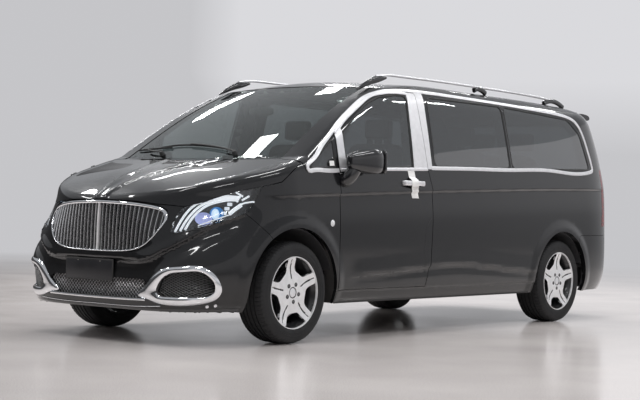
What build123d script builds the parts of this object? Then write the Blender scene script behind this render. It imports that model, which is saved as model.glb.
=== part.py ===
from build123d import *
from math import cos, radians, sin
import os

os.makedirs("parts", exist_ok=True)

# A long-wheelbase minivan in millimetres. -Y is forward, +X is the vehicle's left, +Z is up.
# The origin is on the ground, under the middle of the vehicle.

# Driving dimensions
FRONT_AXLE = -1790.0  # y of the front wheels
WHEELBASE = 3430.0
REAR_AXLE = FRONT_AXLE + WHEELBASE
TYRE_RADIUS = 338.0
AXLE_HEIGHT = TYRE_RADIUS
TYRE_WIDTH = 243.0
RIM_RADIUS = 241.0
FRONT_TRACK_HALF = 833.0
REAR_TRACK_HALF = 823.0
FRONT_ARCH_RADIUS = 428.0
REAR_ARCH_RADIUS = 412.0
STEERING_AXIS_X = 772.0
FLOOR_TOP = 470.0
FLOOR_BOTTOM = 440.0
SILL_BOTTOM = 255.0
SILL_TOP = 345.0
SHUT_GAP = 6.0  # round doors and lids
SEAM = 3.0  # between fixed panels
WALL = 95.0  # side walls, doors and tailgate
ROOF_WALL = 45.0
PANEL = 30.0  # bonnet, bumpers and the outer layer of a door
FENDER = 15.0
GLASS_OUTSIDE = 3.0
GLASS_INSIDE = 8.0
ROOF_HALF_WIDTH = 690.0
TOW_BAR_FROM_AXLE = 3980.0  # the middle of the tow bar's four bolt holes in the frame rails
TOW_BAR_SPACING_X = 800.0
TOW_BAR_SPACING_Y = 120.0
TOW_BAR_HOLE_RADIUS = 6.5
TOW_BAR_HOLE_DEPTH = 50.0

# The body narrows as it rises: height, half width, reach ahead of the front axle, the two powers
# of the nose's plan curve, and how far behind the front axle the tail ends.
BODY_LEVELS = [
    (190, 868, 838, 2.50, 5.60, 4380),
    (260, 915, 872, 2.50, 5.60, 4420),
    (350, 945, 884, 2.50, 5.60, 4457),
    (480, 957, 888, 2.50, 5.60, 4470),
    (620, 963, 888, 2.35, 4.20, 4461),
    (760, 964, 886, 2.10, 3.10, 4450),
    (900, 962, 878, 1.90, 2.45, 4445),
    (1030, 956, 868, 1.85, 2.35, 4445),
    (1150, 943, 858, 1.85, 2.35, 4443),
    (1250, 924, 850, 1.85, 2.35, 4435),
    (1400, 894, 845, 1.85, 2.35, 4410),
    (1550, 861, 840, 1.85, 2.35, 4367),
    (1700, 826, 835, 1.85, 2.35, 4303),
    (1800, 800, 830, 1.85, 2.35, 4245),
    (1900, 772, 825, 1.85, 2.35, 4175),
]
TAIL_START = 3775.0  # where the sides start to curve round the tail, behind the front axle
CROWN_X = 757.0  # the crown heights below are those at this distance from the middle

# Centre-line heights of the bonnet and roof, as distance behind the front axle and height
BONNET_LINE = [
    (-1000, 870), (-900, 925), (-800, 985), (-700, 1035),
    (-550, 1090), (-400, 1135), (-200, 1182),
]
ROOF_LINE = [
    (1200, 1842), (1500, 1868), (2200, 1880), (3200, 1874),
    (3900, 1852), (4300, 1825), (4700, 1790),
]
SCREEN_BASE = (-60, 1215)
SCREEN_TOP = (1030, 1800)


def behind(distance):
    """The y that lies this far behind the front axle."""
    return FRONT_AXLE + distance


def shifted(points):
    """Side-view points given from the front axle, as (y, z)."""
    return [(behind(distance), height) for distance, height in points]


# ---------------------------------------------------------------- the body's outer surface


def end_curve(half_width, start, reach, side_power, end_power):
    """Half of the rounded end of a plan outline, from the side to the middle."""
    angles = [0, 8, 18, 30, 42, 54, 66, 78]
    curve = [
        (
            half_width * cos(radians(angle)) ** (2 / side_power),
            start + reach * sin(radians(angle)) ** (2 / end_power),
        )
        for angle in angles
    ]
    return curve + [(0.0, start + reach)]


def plan_volume(inset):
    """Everything inside the body's plan outlines, less an inset."""
    with BuildPart() as plan:
        for height, half_width, nose, nose_end, nose_side, tail in BODY_LEVELS:
            width = half_width - inset
            nose_half = end_curve(width, FRONT_AXLE, inset - nose, nose_side, nose_end)
            tail_half = end_curve(width, behind(TAIL_START), tail - TAIL_START - inset, 7.0, 3.0)
            nose_points = nose_half + [(-x, y) for x, y in nose_half[-2::-1]]
            tail_points = [(-x, y) for x, y in tail_half] + tail_half[-2::-1]
            with BuildSketch(Plane.XY.offset(height)):
                with BuildLine():
                    Spline(*nose_points, tangents=[(0, -1), (0, 1)])
                    Line(nose_points[-1], tail_points[0])
                    Spline(*tail_points, tangents=[(0, 1), (0, -1)])
                    Line(tail_points[-1], nose_points[0])
                make_face()
        loft()
    return plan.part


def profile_volume(inset):
    """Everything below the bonnet, windscreen and roof, less an inset."""
    with BuildPart() as profile:
        for x in (-1000, -750, -400, 0, 400, 750, 1000):
            crown = (x / CROWN_X) ** 2
            bonnet = [(y, z - (70 - (y + 1000) * 0.048) * crown - inset) for y, z in BONNET_LINE]
            base = (SCREEN_BASE[0] + 150 * crown, SCREEN_BASE[1] + 20 * crown - inset)
            screen = [
                (150 + 130 * crown, 1347 + 8 * crown - inset),
                (400 + 110 * crown, 1497 - 2 * crown - inset),
                (700 + 80 * crown, 1655 - 14 * crown - inset),
            ]
            header = (SCREEN_TOP[0] + 60 * crown, SCREEN_TOP[1] - 25 * crown - inset)
            roof = [(y + (60 * crown if y < 1400 else 0), z - 52 * crown - inset) for y, z in ROOF_LINE]
            with BuildSketch(Plane.YZ.offset(x)):
                with BuildLine():
                    Spline(*shifted(bonnet + [base]))
                    Spline(*shifted([base] + screen + [header]))
                    Spline(*shifted([header] + roof))
                    Polyline(*shifted([roof[-1], (roof[-1][0], 100), (bonnet[0][0], 100), bonnet[0]]))
                make_face()
        loft()
    return profile.part


def body_volume(side_inset, top_inset):
    """The whole body as one solid, less the insets."""
    with BuildPart() as volume:
        add(plan_volume(side_inset))
        add(profile_volume(top_inset), mode=Mode.INTERSECT)
    return volume.part


def layer(outside, inside):
    """What lies between two nested body volumes."""
    with BuildPart() as shell:
        add(outside)
        add(inside, mode=Mode.SUBTRACT)
    return shell.part


# ---------------------------------------------------------------- cutting prisms


def prism(plane, points, depth, corner=0.0, grow=0.0):
    """A straight prism of an outline, with rounded corners and an optional offset."""
    with BuildPart() as cutter:
        with BuildSketch(plane):
            with BuildLine():
                if corner:
                    FilletPolyline(*points, radius=corner, close=True)
                else:
                    Polyline(*points, close=True)
            make_face()
            if grow:
                offset(amount=grow)
        extrude(amount=depth)
    return cutter.part


def side_prism(points, x_low, x_high, corner=0.0, grow=0.0):
    """A prism of a side-view outline, its points from the front axle."""
    return prism(Plane.YZ.offset(x_low), shifted(points), x_high - x_low, corner, grow)


def front_prism(points, y_low, y_high, corner=0.0, grow=0.0):
    """A prism of a front-view outline, given as (x, z)."""
    return prism(Plane.XZ.offset(-y_high), points, y_high - y_low, corner, grow)


def plan_prism(points, z_low, z_high, grow=0.0):
    """A prism of a plan-view outline, its points from the front axle as (x, distance)."""
    placed = [(x, behind(distance)) for x, distance in points]
    return prism(Plane.XY.offset(z_low), placed, z_high - z_low, grow=grow)


def block(low, high):
    """A box between two corners."""
    size = [upper - lower for lower, upper in zip(low, high)]
    with BuildPart() as box:
        with Locations(tuple(low)):
            Box(*size, align=(Align.MIN, Align.MIN, Align.MIN))
    return box.part


def wheel_arches(front_radius, rear_radius, x_low, x_high):
    """Cylinders across the vehicle at both axles, between two x planes."""
    with BuildPart() as arches:
        for axle, radius in ((FRONT_AXLE, front_radius), (REAR_AXLE, rear_radius)):
            with BuildSketch(Plane.YZ.offset(x_low)):
                with Locations((axle, AXLE_HEIGHT)):
                    Circle(radius)
            extrude(amount=x_high - x_low)
            with BuildSketch(Plane.YZ.offset(x_low)):
                with Locations((axle, AXLE_HEIGHT / 2)):
                    Rectangle(2 * radius, AXLE_HEIGHT)
            extrude(amount=x_high - x_low)
    return arches.part


def mirrored(part):
    """The same piece on the vehicle's other side."""
    with BuildPart() as other:
        mirror(part, about=Plane.YZ)
    return other.part


def rod(start, end, radius):
    """A straight round bar between two points."""
    run = Vector(end) - Vector(start)
    with BuildPart() as bar:
        with BuildSketch(Plane(origin=start, z_dir=run.normalized())):
            Circle(radius)
        extrude(amount=run.length)
    return bar.part


def write(part, name):
    """Label a finished piece and write it."""
    part.label = name
    export_step(part, f"parts/{name}.step")


# ---------------------------------------------------------------- outlines of panels and openings

# Side view, from the front axle
DOOR_REAR_EDGE = [(1479, SILL_TOP), (1527, 518), (1540, 829), (1536, 1036), (1502, 1200), (1478, 1768)]
DOOR = [(448, SILL_TOP)] + DOOR_REAR_EDGE
DOOR += [(1250, 1763), (1034, 1737), (865, 1675), (531, 1478), (448, 1404)]
DOOR_WINDOW = [
    (500, 1178), (1322, 1210), (1385, 1735), (1250, 1735),
    (1034, 1705), (865, 1640), (500, 1400),
]
QUARTER_WINDOW = [(125, 1168), (412, 1174), (412, 1370)]
MIDDLE_WINDOW = [(1600, 1226), (2655, 1247), (2655, 1742), (1625, 1742)]
REAR_SIDE_WINDOW = [(2687, 1248), (3940, 1280), (3860, 1580), (3690, 1700), (2687, 1742)]
SLIDING_DOOR = [(distance + SHUT_GAP, height) for distance, height in DOOR_REAR_EDGE]
SLIDING_DOOR += [(2668, 1768), (2668, SILL_TOP)]
FENDER_OUTLINE = [
    (-431, 866), (-304, 1022), (-147, 1062), (-40, 1142),
    (60, 1205), (88, 1140), (442, 1140), (442, SILL_BOTTOM),
    (-200, SILL_BOTTOM), (-200, 650), (-283, 736),
]
BUMPER_OUTLINE = [
    (-1000, 150), (-1000, 905), (-460, 905), (-431, 866), (-283, 736), (-200, 650), (-200, 150),
]
BONNET_OUTLINE = [
    (-1000, 2000), (-1000, 926), (-875, 926), (-800, 902), (-712, 890),
    (-655, 907), (-582, 938), (-502, 973), (-417, 1004),
    (-304, 1027), (-147, 1065), (-40, 1145), (60, 1210), (60, 2000),
]
REAR_BUMPER_OUTLINE = [
    (3700, 150), (3700, 700), (3740, 716), (4188, 716),
    (4230, 640), (4800, 640), (4800, 150),
]
TAILLAMP_OUTLINE = [(4130, 800), (4800, 760), (4800, 1290), (4160, 1290)]

# Front view
GRILLE_HALF = [(270, 912), (470, 890), (525, 862), (546, 815), (514, 749), (478, 685), (412, 625), (320, 594)]
GRILLE_OUTLINE = [(0, 922)] + GRILLE_HALF + [(-x, height) for x, height in GRILLE_HALF[::-1]]
HEADLAMP_OUTLINE = [
    (582, 770), (594, 844), (625, 905), (679, 925), (739, 955),
    (793, 990), (844, 1020), (898, 1040), (888, 972),
    (882, 920), (873, 866), (851, 835), (809, 801), (740, 764), (678, 739), (615, 720), (588, 726),
]
LOWER_INTAKE = [(-390, 300), (390, 300), (455, 395), (425, 425), (-425, 425), (-455, 395)]
CORNER_INTAKE = [
    (590, 322), (775, 322), (834, 334), (853, 385), (840, 440),
    (800, 481), (650, 468), (585, 432), (546, 350),
]
WINDSCREEN_OUTLINE = [(-742, 1205), (742, 1205), (742, 1240), (640, 1850), (-640, 1850), (-742, 1240)]
TAILGATE_OUTLINE = [
    (-735, 646), (735, 646), (760, 900), (752, 1250), (712, 1700), (690, 1900),
    (-690, 1900), (-712, 1700), (-752, 1250), (-760, 900),
]
TAILGATE_WINDOW = [(-655, 1210), (655, 1210), (625, 1690), (-625, 1690)]

ROOF_REAR_EDGE = 4209.0
TAILGATE_FRONT = ROOF_REAR_EDGE + 2 * SHUT_GAP
ROOF_PLAN = [
    (-ROOF_HALF_WIDTH, 1075), (-350, 1040), (0, 1027), (350, 1040), (ROOF_HALF_WIDTH, 1075),
    (ROOF_HALF_WIDTH, ROOF_REAR_EDGE), (-ROOF_HALF_WIDTH, ROOF_REAR_EDGE),
]
BONNET_REAR_PLAN = [
    (-1000, -1100), (1000, -1100), (1000, 40), (757, 35), (400, -55),
    (0, -95), (-400, -55), (-757, 35), (-1000, 40),
]

outer = body_volume(0, 0)
below_glass = body_volume(GLASS_OUTSIDE, GLASS_OUTSIDE)
inside_glass = body_volume(GLASS_INSIDE, GLASS_INSIDE)
inside_fender = body_volume(FENDER, FENDER)
inside_panel = body_volume(PANEL, PANEL)
cavity = body_volume(WALL, ROOF_WALL)
cabin = body_volume(WALL + SEAM, ROOF_WALL + SEAM)

wall = layer(outer, cavity)
panel = layer(outer, inside_panel)
inner_panel = layer(inside_panel, cavity)
pane = layer(below_glass, inside_glass)
fender_skin = layer(outer, inside_fender)
arches = wheel_arches(FRONT_ARCH_RADIUS, REAR_ARCH_RADIUS, -1000, 1000)
roof_zone = plan_prism(ROOF_PLAN, 1500, 2000)
beside_roof = plan_prism(ROOF_PLAN, 1500, 2000, grow=SEAM)
screen_zone = front_prism(WINDSCREEN_OUTLINE, behind(-300), behind(1120), corner=20)

# ---------------------------------------------------------------- fixed body panels

with BuildPart() as roof_panel:
    add(wall)
    add(roof_zone, mode=Mode.INTERSECT)
write(roof_panel.part, "roof_panel")


def body_side(openings, post_x):
    """One side of the body on the vehicle's left: pillars, sill, quarter and roof rail in one."""
    side_region = [
        (448, SILL_BOTTOM), (4800, SILL_BOTTOM), (4800, 2000), (46, 2000),
        (46, 1212), (64, 1212), (92, 1144),
        (448, 1144),
    ]
    with BuildPart() as side:
        add(wall)
        add(side_prism(side_region, 0, 1000), mode=Mode.INTERSECT)
        add(inner_post(post_x))
        add(beside_roof, mode=Mode.SUBTRACT)
        add(screen_zone, mode=Mode.SUBTRACT)
        add(front_prism(TAILGATE_OUTLINE, behind(ROOF_REAR_EDGE), 3000, grow=SHUT_GAP), mode=Mode.SUBTRACT)
        add(block((0, behind(ROOF_REAR_EDGE), 150), (735 + SHUT_GAP, 3000, 2000)), mode=Mode.SUBTRACT)
        add(side_prism(REAR_BUMPER_OUTLINE, 0, 1000, grow=SEAM), mode=Mode.SUBTRACT)
        add(side_prism(TAILLAMP_OUTLINE, 700, 1000, grow=SEAM), mode=Mode.SUBTRACT)
        add(arches, mode=Mode.SUBTRACT)
        for outline, corner, grow in openings:
            add(side_prism(outline, 0, 1000, corner, grow), mode=Mode.SUBTRACT)
    return side.part


def inner_post(x_inside):
    """The hinge post between the sill and the screen pillar, under the rear of the fender."""
    with BuildPart() as post:
        add(layer(inside_fender, cavity))
        add(block((x_inside, behind(330), SILL_BOTTOM), (1000, behind(442), 1141)), mode=Mode.INTERSECT)
    return post.part


door_opening = (DOOR, 0, SHUT_GAP)
left_openings = [door_opening, (QUARTER_WINDOW, 12, 0), (MIDDLE_WINDOW, 45, 0), (REAR_SIDE_WINDOW, 45, 0)]
right_openings = [door_opening, (QUARTER_WINDOW, 12, 0), (SLIDING_DOOR, 0, 3), (REAR_SIDE_WINDOW, 45, 0)]
body_side_left = body_side(left_openings, 0)
write(body_side_left, "body_side_left")
body_side_right = mirrored(body_side(right_openings, 0))
write(body_side_right, "body_side_right")

with BuildPart() as sliding_door:
    add(wall)
    add(side_prism(SLIDING_DOOR, -1000, 0), mode=Mode.INTERSECT)
    add(side_prism(MIDDLE_WINDOW, -1000, 0, 45), mode=Mode.SUBTRACT)
write(sliding_door.part, "sliding_door")


def fender():
    """The left front fender."""
    with BuildPart() as part:
        add(fender_skin)
        add(side_prism(FENDER_OUTLINE, 500, 1000), mode=Mode.INTERSECT)
        add(front_prism(HEADLAMP_OUTLINE, -3000, behind(-200), grow=SEAM), mode=Mode.SUBTRACT)
        add(side_prism(BONNET_OUTLINE, 500, 1000, grow=SHUT_GAP), mode=Mode.SUBTRACT)
        add(arches, mode=Mode.SUBTRACT)
    return part.part


fender_left = fender()
write(fender_left, "fender_left")
write(mirrored(fender_left), "fender_right")

with BuildPart() as headlamp_right_and_left:
    add(panel)
    add(front_prism(HEADLAMP_OUTLINE, -3000, behind(-200)), mode=Mode.INTERSECT)
    add(side_prism(BONNET_OUTLINE, -1000, 1000, grow=SHUT_GAP), mode=Mode.SUBTRACT)
headlamp_left = headlamp_right_and_left.part
write(headlamp_left, "headlamp_left")
write(mirrored(headlamp_left), "headlamp_right")

with BuildPart() as front_bumper:
    add(panel)
    add(side_prism(BUMPER_OUTLINE, -1000, 1000), mode=Mode.INTERSECT)
    add(side_prism(FENDER_OUTLINE, -1000, 1000, grow=SEAM), mode=Mode.SUBTRACT)
    add(side_prism(BONNET_OUTLINE, -1000, 1000, grow=SHUT_GAP), mode=Mode.SUBTRACT)
    add(block((-1000, -3000, 100), (1000, 0, 225)), mode=Mode.SUBTRACT)
    add(front_prism(GRILLE_OUTLINE, -3000, behind(-600), grow=SEAM), mode=Mode.SUBTRACT)
    for side in (-1, 1):
        lamp = [(side * x, z) for x, z in HEADLAMP_OUTLINE]
        intake = [(side * x, z) for x, z in CORNER_INTAKE]
        add(front_prism(lamp, -3000, behind(-200), grow=SEAM), mode=Mode.SUBTRACT)
        add(front_prism(intake, -3000, behind(-500), 14), mode=Mode.SUBTRACT)
    add(front_prism(LOWER_INTAKE, -3000, behind(-700), 20), mode=Mode.SUBTRACT)
    add(arches, mode=Mode.SUBTRACT)
write(front_bumper.part, "front_bumper")

with BuildPart() as plate_holder:
    add(block((-290, behind(-895), 395), (160, behind(-840), 537)))
    add(outer, mode=Mode.SUBTRACT)
write(plate_holder.part, "plate_holder")

with BuildPart() as grille:
    add(panel)
    add(front_prism(GRILLE_OUTLINE, -3000, behind(-600)), mode=Mode.INTERSECT)
    add(side_prism(BONNET_OUTLINE, -1000, 1000, grow=SHUT_GAP), mode=Mode.SUBTRACT)
write(grille.part, "grille")

with BuildPart() as rear_bumper:
    add(panel)
    add(side_prism(REAR_BUMPER_OUTLINE, -1000, 1000), mode=Mode.INTERSECT)
    add(block((-1000, 0, 100), (1000, 3000, 250)), mode=Mode.SUBTRACT)
    add(arches, mode=Mode.SUBTRACT)
write(rear_bumper.part, "rear_bumper")

with BuildPart() as taillamp:
    add(panel)
    add(side_prism(TAILLAMP_OUTLINE, 735 + SHUT_GAP, 1000), mode=Mode.INTERSECT)
    add(front_prism(TAILGATE_OUTLINE, behind(ROOF_REAR_EDGE), 3000, grow=SHUT_GAP), mode=Mode.SUBTRACT)
write(taillamp.part, "taillamp_left")
write(mirrored(taillamp.part), "taillamp_right")

# ---------------------------------------------------------------- fixed glass

with BuildPart() as windscreen:
    add(pane)
    add(front_prism(WINDSCREEN_OUTLINE, behind(-300), behind(1120), 20, -SEAM), mode=Mode.INTERSECT)
    add(beside_roof, mode=Mode.SUBTRACT)
    add(block((-1000, behind(-300), 0), (1000, behind(1200), 1218)), mode=Mode.SUBTRACT)
write(windscreen.part, "windscreen")


def side_panes(windows, x_low, x_high):
    """Panes that fill the given side windows."""
    with BuildPart() as panes:
        for outline, corner in windows:
            with BuildPart(mode=Mode.PRIVATE) as one:
                add(pane)
                add(side_prism(outline, x_low, x_high, corner, -SEAM), mode=Mode.INTERSECT)
            add(one.part)
    return panes.part


left_windows = [(QUARTER_WINDOW, 12), (MIDDLE_WINDOW, 45), (REAR_SIDE_WINDOW, 45)]
write(side_panes(left_windows, 0, 1000), "side_glass_left")
write(side_panes(left_windows, -1000, 0), "side_glass_right")

# ---------------------------------------------------------------- bonnet

with BuildPart() as bonnet:
    add(layer(outer, inside_panel))
    add(side_prism(BONNET_OUTLINE, -1000, 1000), mode=Mode.INTERSECT)
    add(plan_prism(BONNET_REAR_PLAN, 500, 2000), mode=Mode.INTERSECT)
write(bonnet.part, "bonnet")

# ---------------------------------------------------------------- front doors


def front_door():
    """The left front door: a full outer layer and an inner layer that clears the frame."""
    with BuildPart() as inner:
        add(inner_panel)
        add(side_prism(DOOR, 0, 1000, grow=-18), mode=Mode.INTERSECT)
    with BuildPart() as door:
        add(panel)
        add(side_prism(DOOR, 0, 1000), mode=Mode.INTERSECT)
        add(inner.part)
        add(side_prism(DOOR_WINDOW, 0, 1000, 25), mode=Mode.SUBTRACT)
    return door.part


front_door_left = front_door()
write(front_door_left, "front_door_left")
write(mirrored(front_door_left), "front_door_right")

with BuildPart() as door_glass:
    add(pane)
    add(side_prism(DOOR_WINDOW, 0, 1000, 25, -SEAM), mode=Mode.INTERSECT)
write(door_glass.part, "door_glass_left")
write(mirrored(door_glass.part), "door_glass_right")

MIRROR_FRONT = (1040, behind(462), 1222)
MIRROR_DEPTH = 280
with BuildPart() as mirror_left:
    with BuildSketch(Plane(origin=MIRROR_FRONT, x_dir=(1, 0, 0), z_dir=(0, 1, 0))):
        RectangleRounded(170, 160, 55)
    extrude(amount=MIRROR_DEPTH)
    add(block((900, behind(465), 1050), (1005, behind(560), 1160)))
    add(outer, mode=Mode.SUBTRACT)
write(mirror_left.part, "mirror_left")
write(mirrored(mirror_left.part), "mirror_right")

# ---------------------------------------------------------------- tailgate

with BuildPart() as tailgate:
    add(wall)
    add(front_prism(TAILGATE_OUTLINE, behind(TAILGATE_FRONT), 3000), mode=Mode.INTERSECT)
    add(front_prism(TAILGATE_WINDOW, 0, 3000, 50), mode=Mode.SUBTRACT)
write(tailgate.part, "tailgate")

with BuildPart() as rear_glass:
    add(pane)
    add(front_prism(TAILGATE_WINDOW, 0, 3000, 50, -SEAM), mode=Mode.INTERSECT)
write(rear_glass.part, "rear_glass")

SPOILER_SECTION = [
    (TAILGATE_FRONT, 1780), (TAILGATE_FRONT, 1829), (4420, 1812), (4455, 1798), (4435, 1776), (4300, 1770),
]
with BuildPart() as spoiler:
    for x in (-640, -320, 0, 320, 640):
        crown = 52 * (x / CROWN_X) ** 2
        with BuildSketch(Plane.YZ.offset(x)):
            with BuildLine():
                Polyline(*shifted([(y - crown * 0.6, z - crown) for y, z in SPOILER_SECTION]), close=True)
            make_face()
    loft()
    add(block((-1000, 2000, 1500), (1000, behind(TAILGATE_FRONT), 2000)), mode=Mode.SUBTRACT)
    add(outer, mode=Mode.SUBTRACT)
write(spoiler.part, "rear_spoiler")

# ---------------------------------------------------------------- floor and structure

COWL_PLAN = [
    (-735, 48), (-400, -40), (0, -82), (400, -40), (735, 48),
    (735, 118), (400, 30), (0, -12), (-400, 30), (-735, 118),
]
with BuildPart() as cowl:
    add(plan_prism(COWL_PLAN, 1128, 1160))
    add(cabin, mode=Mode.INTERSECT)
write(cowl.part, "cowl")

with BuildPart() as floor_pan:
    add(cabin)
    add(block((-1000, behind(60), FLOOR_BOTTOM), (1000, behind(4360), FLOOR_TOP)), mode=Mode.INTERSECT)
    add(wheel_arches(460, 440, 500, 1000), mode=Mode.SUBTRACT)
    add(wheel_arches(460, 440, -1000, -500), mode=Mode.SUBTRACT)
write(floor_pan.part, "floor_pan")

with BuildPart() as bulkhead:
    add(cabin)
    add(block((-1000, behind(20), FLOOR_TOP), (1000, behind(45), 1125)), mode=Mode.INTERSECT)
    add(wheel_arches(460, 440, 500, 1000), mode=Mode.SUBTRACT)
    add(wheel_arches(460, 440, -1000, -500), mode=Mode.SUBTRACT)
write(bulkhead.part, "bulkhead")

with BuildPart() as frame_rails:
    for x in (-430, 370):
        add(block((x, behind(-740), 300), (x + 60, behind(4250), FLOOR_BOTTOM)))
    for y in (-720, 900, 1900, 2800, 4100):
        add(block((-430, behind(y), 320), (430, behind(y + 60), 420)))
    add(block((-500, REAR_AXLE - 90, 200), (500, REAR_AXLE + 90, 395)), mode=Mode.SUBTRACT)
    with BuildSketch(Plane.XY.offset(300)):
        with Locations((0, behind(TOW_BAR_FROM_AXLE))):
            with GridLocations(TOW_BAR_SPACING_X, TOW_BAR_SPACING_Y, 2, 2):
                Circle(TOW_BAR_HOLE_RADIUS)
    extrude(amount=TOW_BAR_HOLE_DEPTH, mode=Mode.SUBTRACT)
write(frame_rails.part, "frame_rails")


def wheel_liner(axle, radius, x_inside, x_outside, wall_bottom):
    """The curved lining above one left wheel, with its inner wall."""
    with BuildPart() as liner:
        with BuildSketch(Plane.YZ.offset(x_inside)):
            with Locations((axle, AXLE_HEIGHT)):
                Circle(radius)
                Circle(radius - 7, mode=Mode.SUBTRACT)
        extrude(amount=x_outside - x_inside)
        with BuildSketch(Plane.YZ.offset(x_inside)):
            with Locations((axle, AXLE_HEIGHT)):
                Circle(radius)
        extrude(amount=5)
        add(block((0, axle - 600, -200), (1000, axle + 600, wall_bottom)), mode=Mode.SUBTRACT)
        add(inside_panel, mode=Mode.INTERSECT)
    return liner.part


front_liner = wheel_liner(FRONT_AXLE, FRONT_ARCH_RADIUS - 1, 505, 925, 480)
rear_liner = wheel_liner(REAR_AXLE, REAR_ARCH_RADIUS - 1, 660, 925, 480)
with BuildPart() as wheel_liners:
    for liner in (front_liner, rear_liner, mirrored(front_liner), mirrored(rear_liner)):
        add(liner)
write(wheel_liners.part, "wheel_liners")

with BuildPart() as engine_block:
    add(block((-330, behind(-480), 441), (300, behind(-20), 900)))
write(engine_block.part, "engine_block")

with BuildPart() as radiator:
    add(block((-400, behind(-690), 441), (400, behind(-640), 840)))
write(radiator.part, "radiator")

EXHAUST_RADIUS = 32.0
EXHAUST_ROUTE = [
    (-540, 420, 350), (-540, 2560, 350), (-480, 2860, 235),
    (-480, 3760, 235), (-480, 4370, 300),
]
with BuildPart() as exhaust:
    exhaust_points = [(x, behind(distance), height) for x, distance, height in EXHAUST_ROUTE]
    for start, end in zip(exhaust_points, exhaust_points[1:]):
        add(rod(start, end, EXHAUST_RADIUS))
    for point in exhaust_points[1:-1]:
        with Locations(point):
            Sphere(EXHAUST_RADIUS)
    add(rod((-540, behind(1500), 350), (-540, behind(2200), 350), 85))
write(exhaust.part, "exhaust")

with BuildPart() as fuel_tank:
    add(block((-360, behind(1300), 300), (360, behind(1880), 438)))
write(fuel_tank.part, "fuel_tank")

# ---------------------------------------------------------------- interior


def seat(x, y, width):
    """One seat with its base, cushion, backrest and headrest. The y is the cushion's front."""
    half = width / 2
    with BuildPart() as chair:
        add(block((x - half + 60, behind(y + 60), FLOOR_TOP), (x + half - 60, behind(y + 440), 700)))
        add(block((x - half, behind(y), 700), (x + half, behind(y + 500), 860)))
        with BuildSketch(Plane.YZ.offset(x - half)):
            with BuildLine():
                backrest = [(y + 420, 700), (y + 540, 700), (y + 680, 1400), (y + 590, 1400)]
                Polyline(*shifted(backrest), close=True)
            make_face()
        extrude(amount=width)
        add(block((x - 130, behind(y + 600), 1400), (x + 130, behind(y + 690), 1590)))
    return chair.part


with BuildPart() as front_seats:
    for x in (-400, 400):
        add(seat(x, 950, 520))
write(front_seats.part, "front_seats")

with BuildPart() as middle_seats:
    for x in (-420, 420):
        add(seat(x, 2050, 520))
write(middle_seats.part, "middle_seats")

with BuildPart() as rear_seats:
    add(seat(0, 3020, 1180))
write(rear_seats.part, "rear_seats")

STEERING_TILT = radians(32)
STEERING_CENTRE = Vector(400, behind(690), 1110)
STEERING_AXIS = Vector(0, cos(STEERING_TILT), sin(STEERING_TILT))
DASH_SECTION = [
    (55, 790), (55, 1122), (125, 1122), (125, 1166), (250, 1165), (400, 1120), (440, 1000), (390, 820),
    (345, 720), (300, 720), (250, 790),
]
with BuildPart() as dashboard:
    add(cabin)
    add(side_prism(DASH_SECTION, -830, 830), mode=Mode.INTERSECT)
    add(rod(STEERING_CENTRE + STEERING_AXIS * -330, STEERING_CENTRE + STEERING_AXIS * -24, 32))
write(dashboard.part, "dashboard")

with BuildPart() as steering_wheel:
    hub_plane = Plane(origin=STEERING_CENTRE, x_dir=(1, 0, 0), z_dir=STEERING_AXIS)
    with BuildSketch(hub_plane):
        Circle(65)
    extrude(amount=18, both=True)
    with BuildSketch(hub_plane):
        with PolarLocations(0, 3, start_angle=-90):
            Rectangle(180, 40, align=(Align.MIN, Align.CENTER))
    extrude(amount=10, both=True)
    with BuildSketch(hub_plane):
        Circle(194)
        Circle(166, mode=Mode.SUBTRACT)
    extrude(amount=14, both=True)
write(steering_wheel.part, "steering_wheel")

with BuildPart() as handle:
    add(block((945, behind(1170), 1075), (985, behind(1200), 1105)))
    add(block((945, behind(1385), 1075), (985, behind(1415), 1105)))
    add(block((975, behind(1160), 1075), (990, behind(1425), 1105)))
    add(outer, mode=Mode.SUBTRACT)
write(handle.part, "door_handle_left")
write(mirrored(handle.part), "door_handle_right")

RAIL_X = 672.0
RAIL_POINTS = [(960, 1765), (1290, 1880), (2300, 1907), (3500, 1892), (3880, 1826)]
with BuildPart() as roof_rails:
    for x in (-RAIL_X, RAIL_X):
        with BuildSketch(Plane.YZ.offset(x - 14)):
            with BuildLine():
                lower = [(distance, height - 30) for distance, height in RAIL_POINTS[::-1]]
                Polyline(*shifted(RAIL_POINTS + lower), close=True)
            make_face()
        extrude(amount=28)
        for foot in (1290, 2560, 3560):
            add(block((x - 14, behind(foot - 70), 1760), (x + 14, behind(foot + 70), 1870)))
    add(outer, mode=Mode.SUBTRACT)
write(roof_rails.part, "roof_rails")

# ---------------------------------------------------------------- axles, knuckles and wheels

HUB_FACE = 55.0  # how far outside the wheel's middle the hub face lies
STUB_RADIUS = 32.0
BORE_RADIUS = 32.05


def front_link(side):
    """The lower arm, drive shaft and strut of one front wheel."""
    with BuildPart() as link:
        add(rod((side * 330, behind(120), 235), (side * 765, behind(0), 200), 20))
        add(rod((side * 330, behind(-140), 235), (side * 765, behind(0), 200), 20))
        add(rod((side * 620, behind(0), 210), (side * 600, behind(0), 740), 38))
    return link.part


with BuildPart() as front_axle:
    add(block((-360, behind(-200), 215), (360, behind(180), 295)))
    for side in (-1, 1):
        add(front_link(side))
write(front_axle.part, "front_axle")

with BuildPart() as rear_axle:
    add(rod((-700, REAR_AXLE, AXLE_HEIGHT), (700, REAR_AXLE, AXLE_HEIGHT), 45))
    for side in (-1, 1):
        add(rod((side * 640, REAR_AXLE, AXLE_HEIGHT), (side * 760, REAR_AXLE, AXLE_HEIGHT), 60))
        add(rod((side * 755, REAR_AXLE, AXLE_HEIGHT), (side * 875, REAR_AXLE, AXLE_HEIGHT), STUB_RADIUS))
        add(rod((side * 560, REAR_AXLE - 700, 380), (side * 600, REAR_AXLE, AXLE_HEIGHT), 35))
write(rear_axle.part, "rear_axle")

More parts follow.
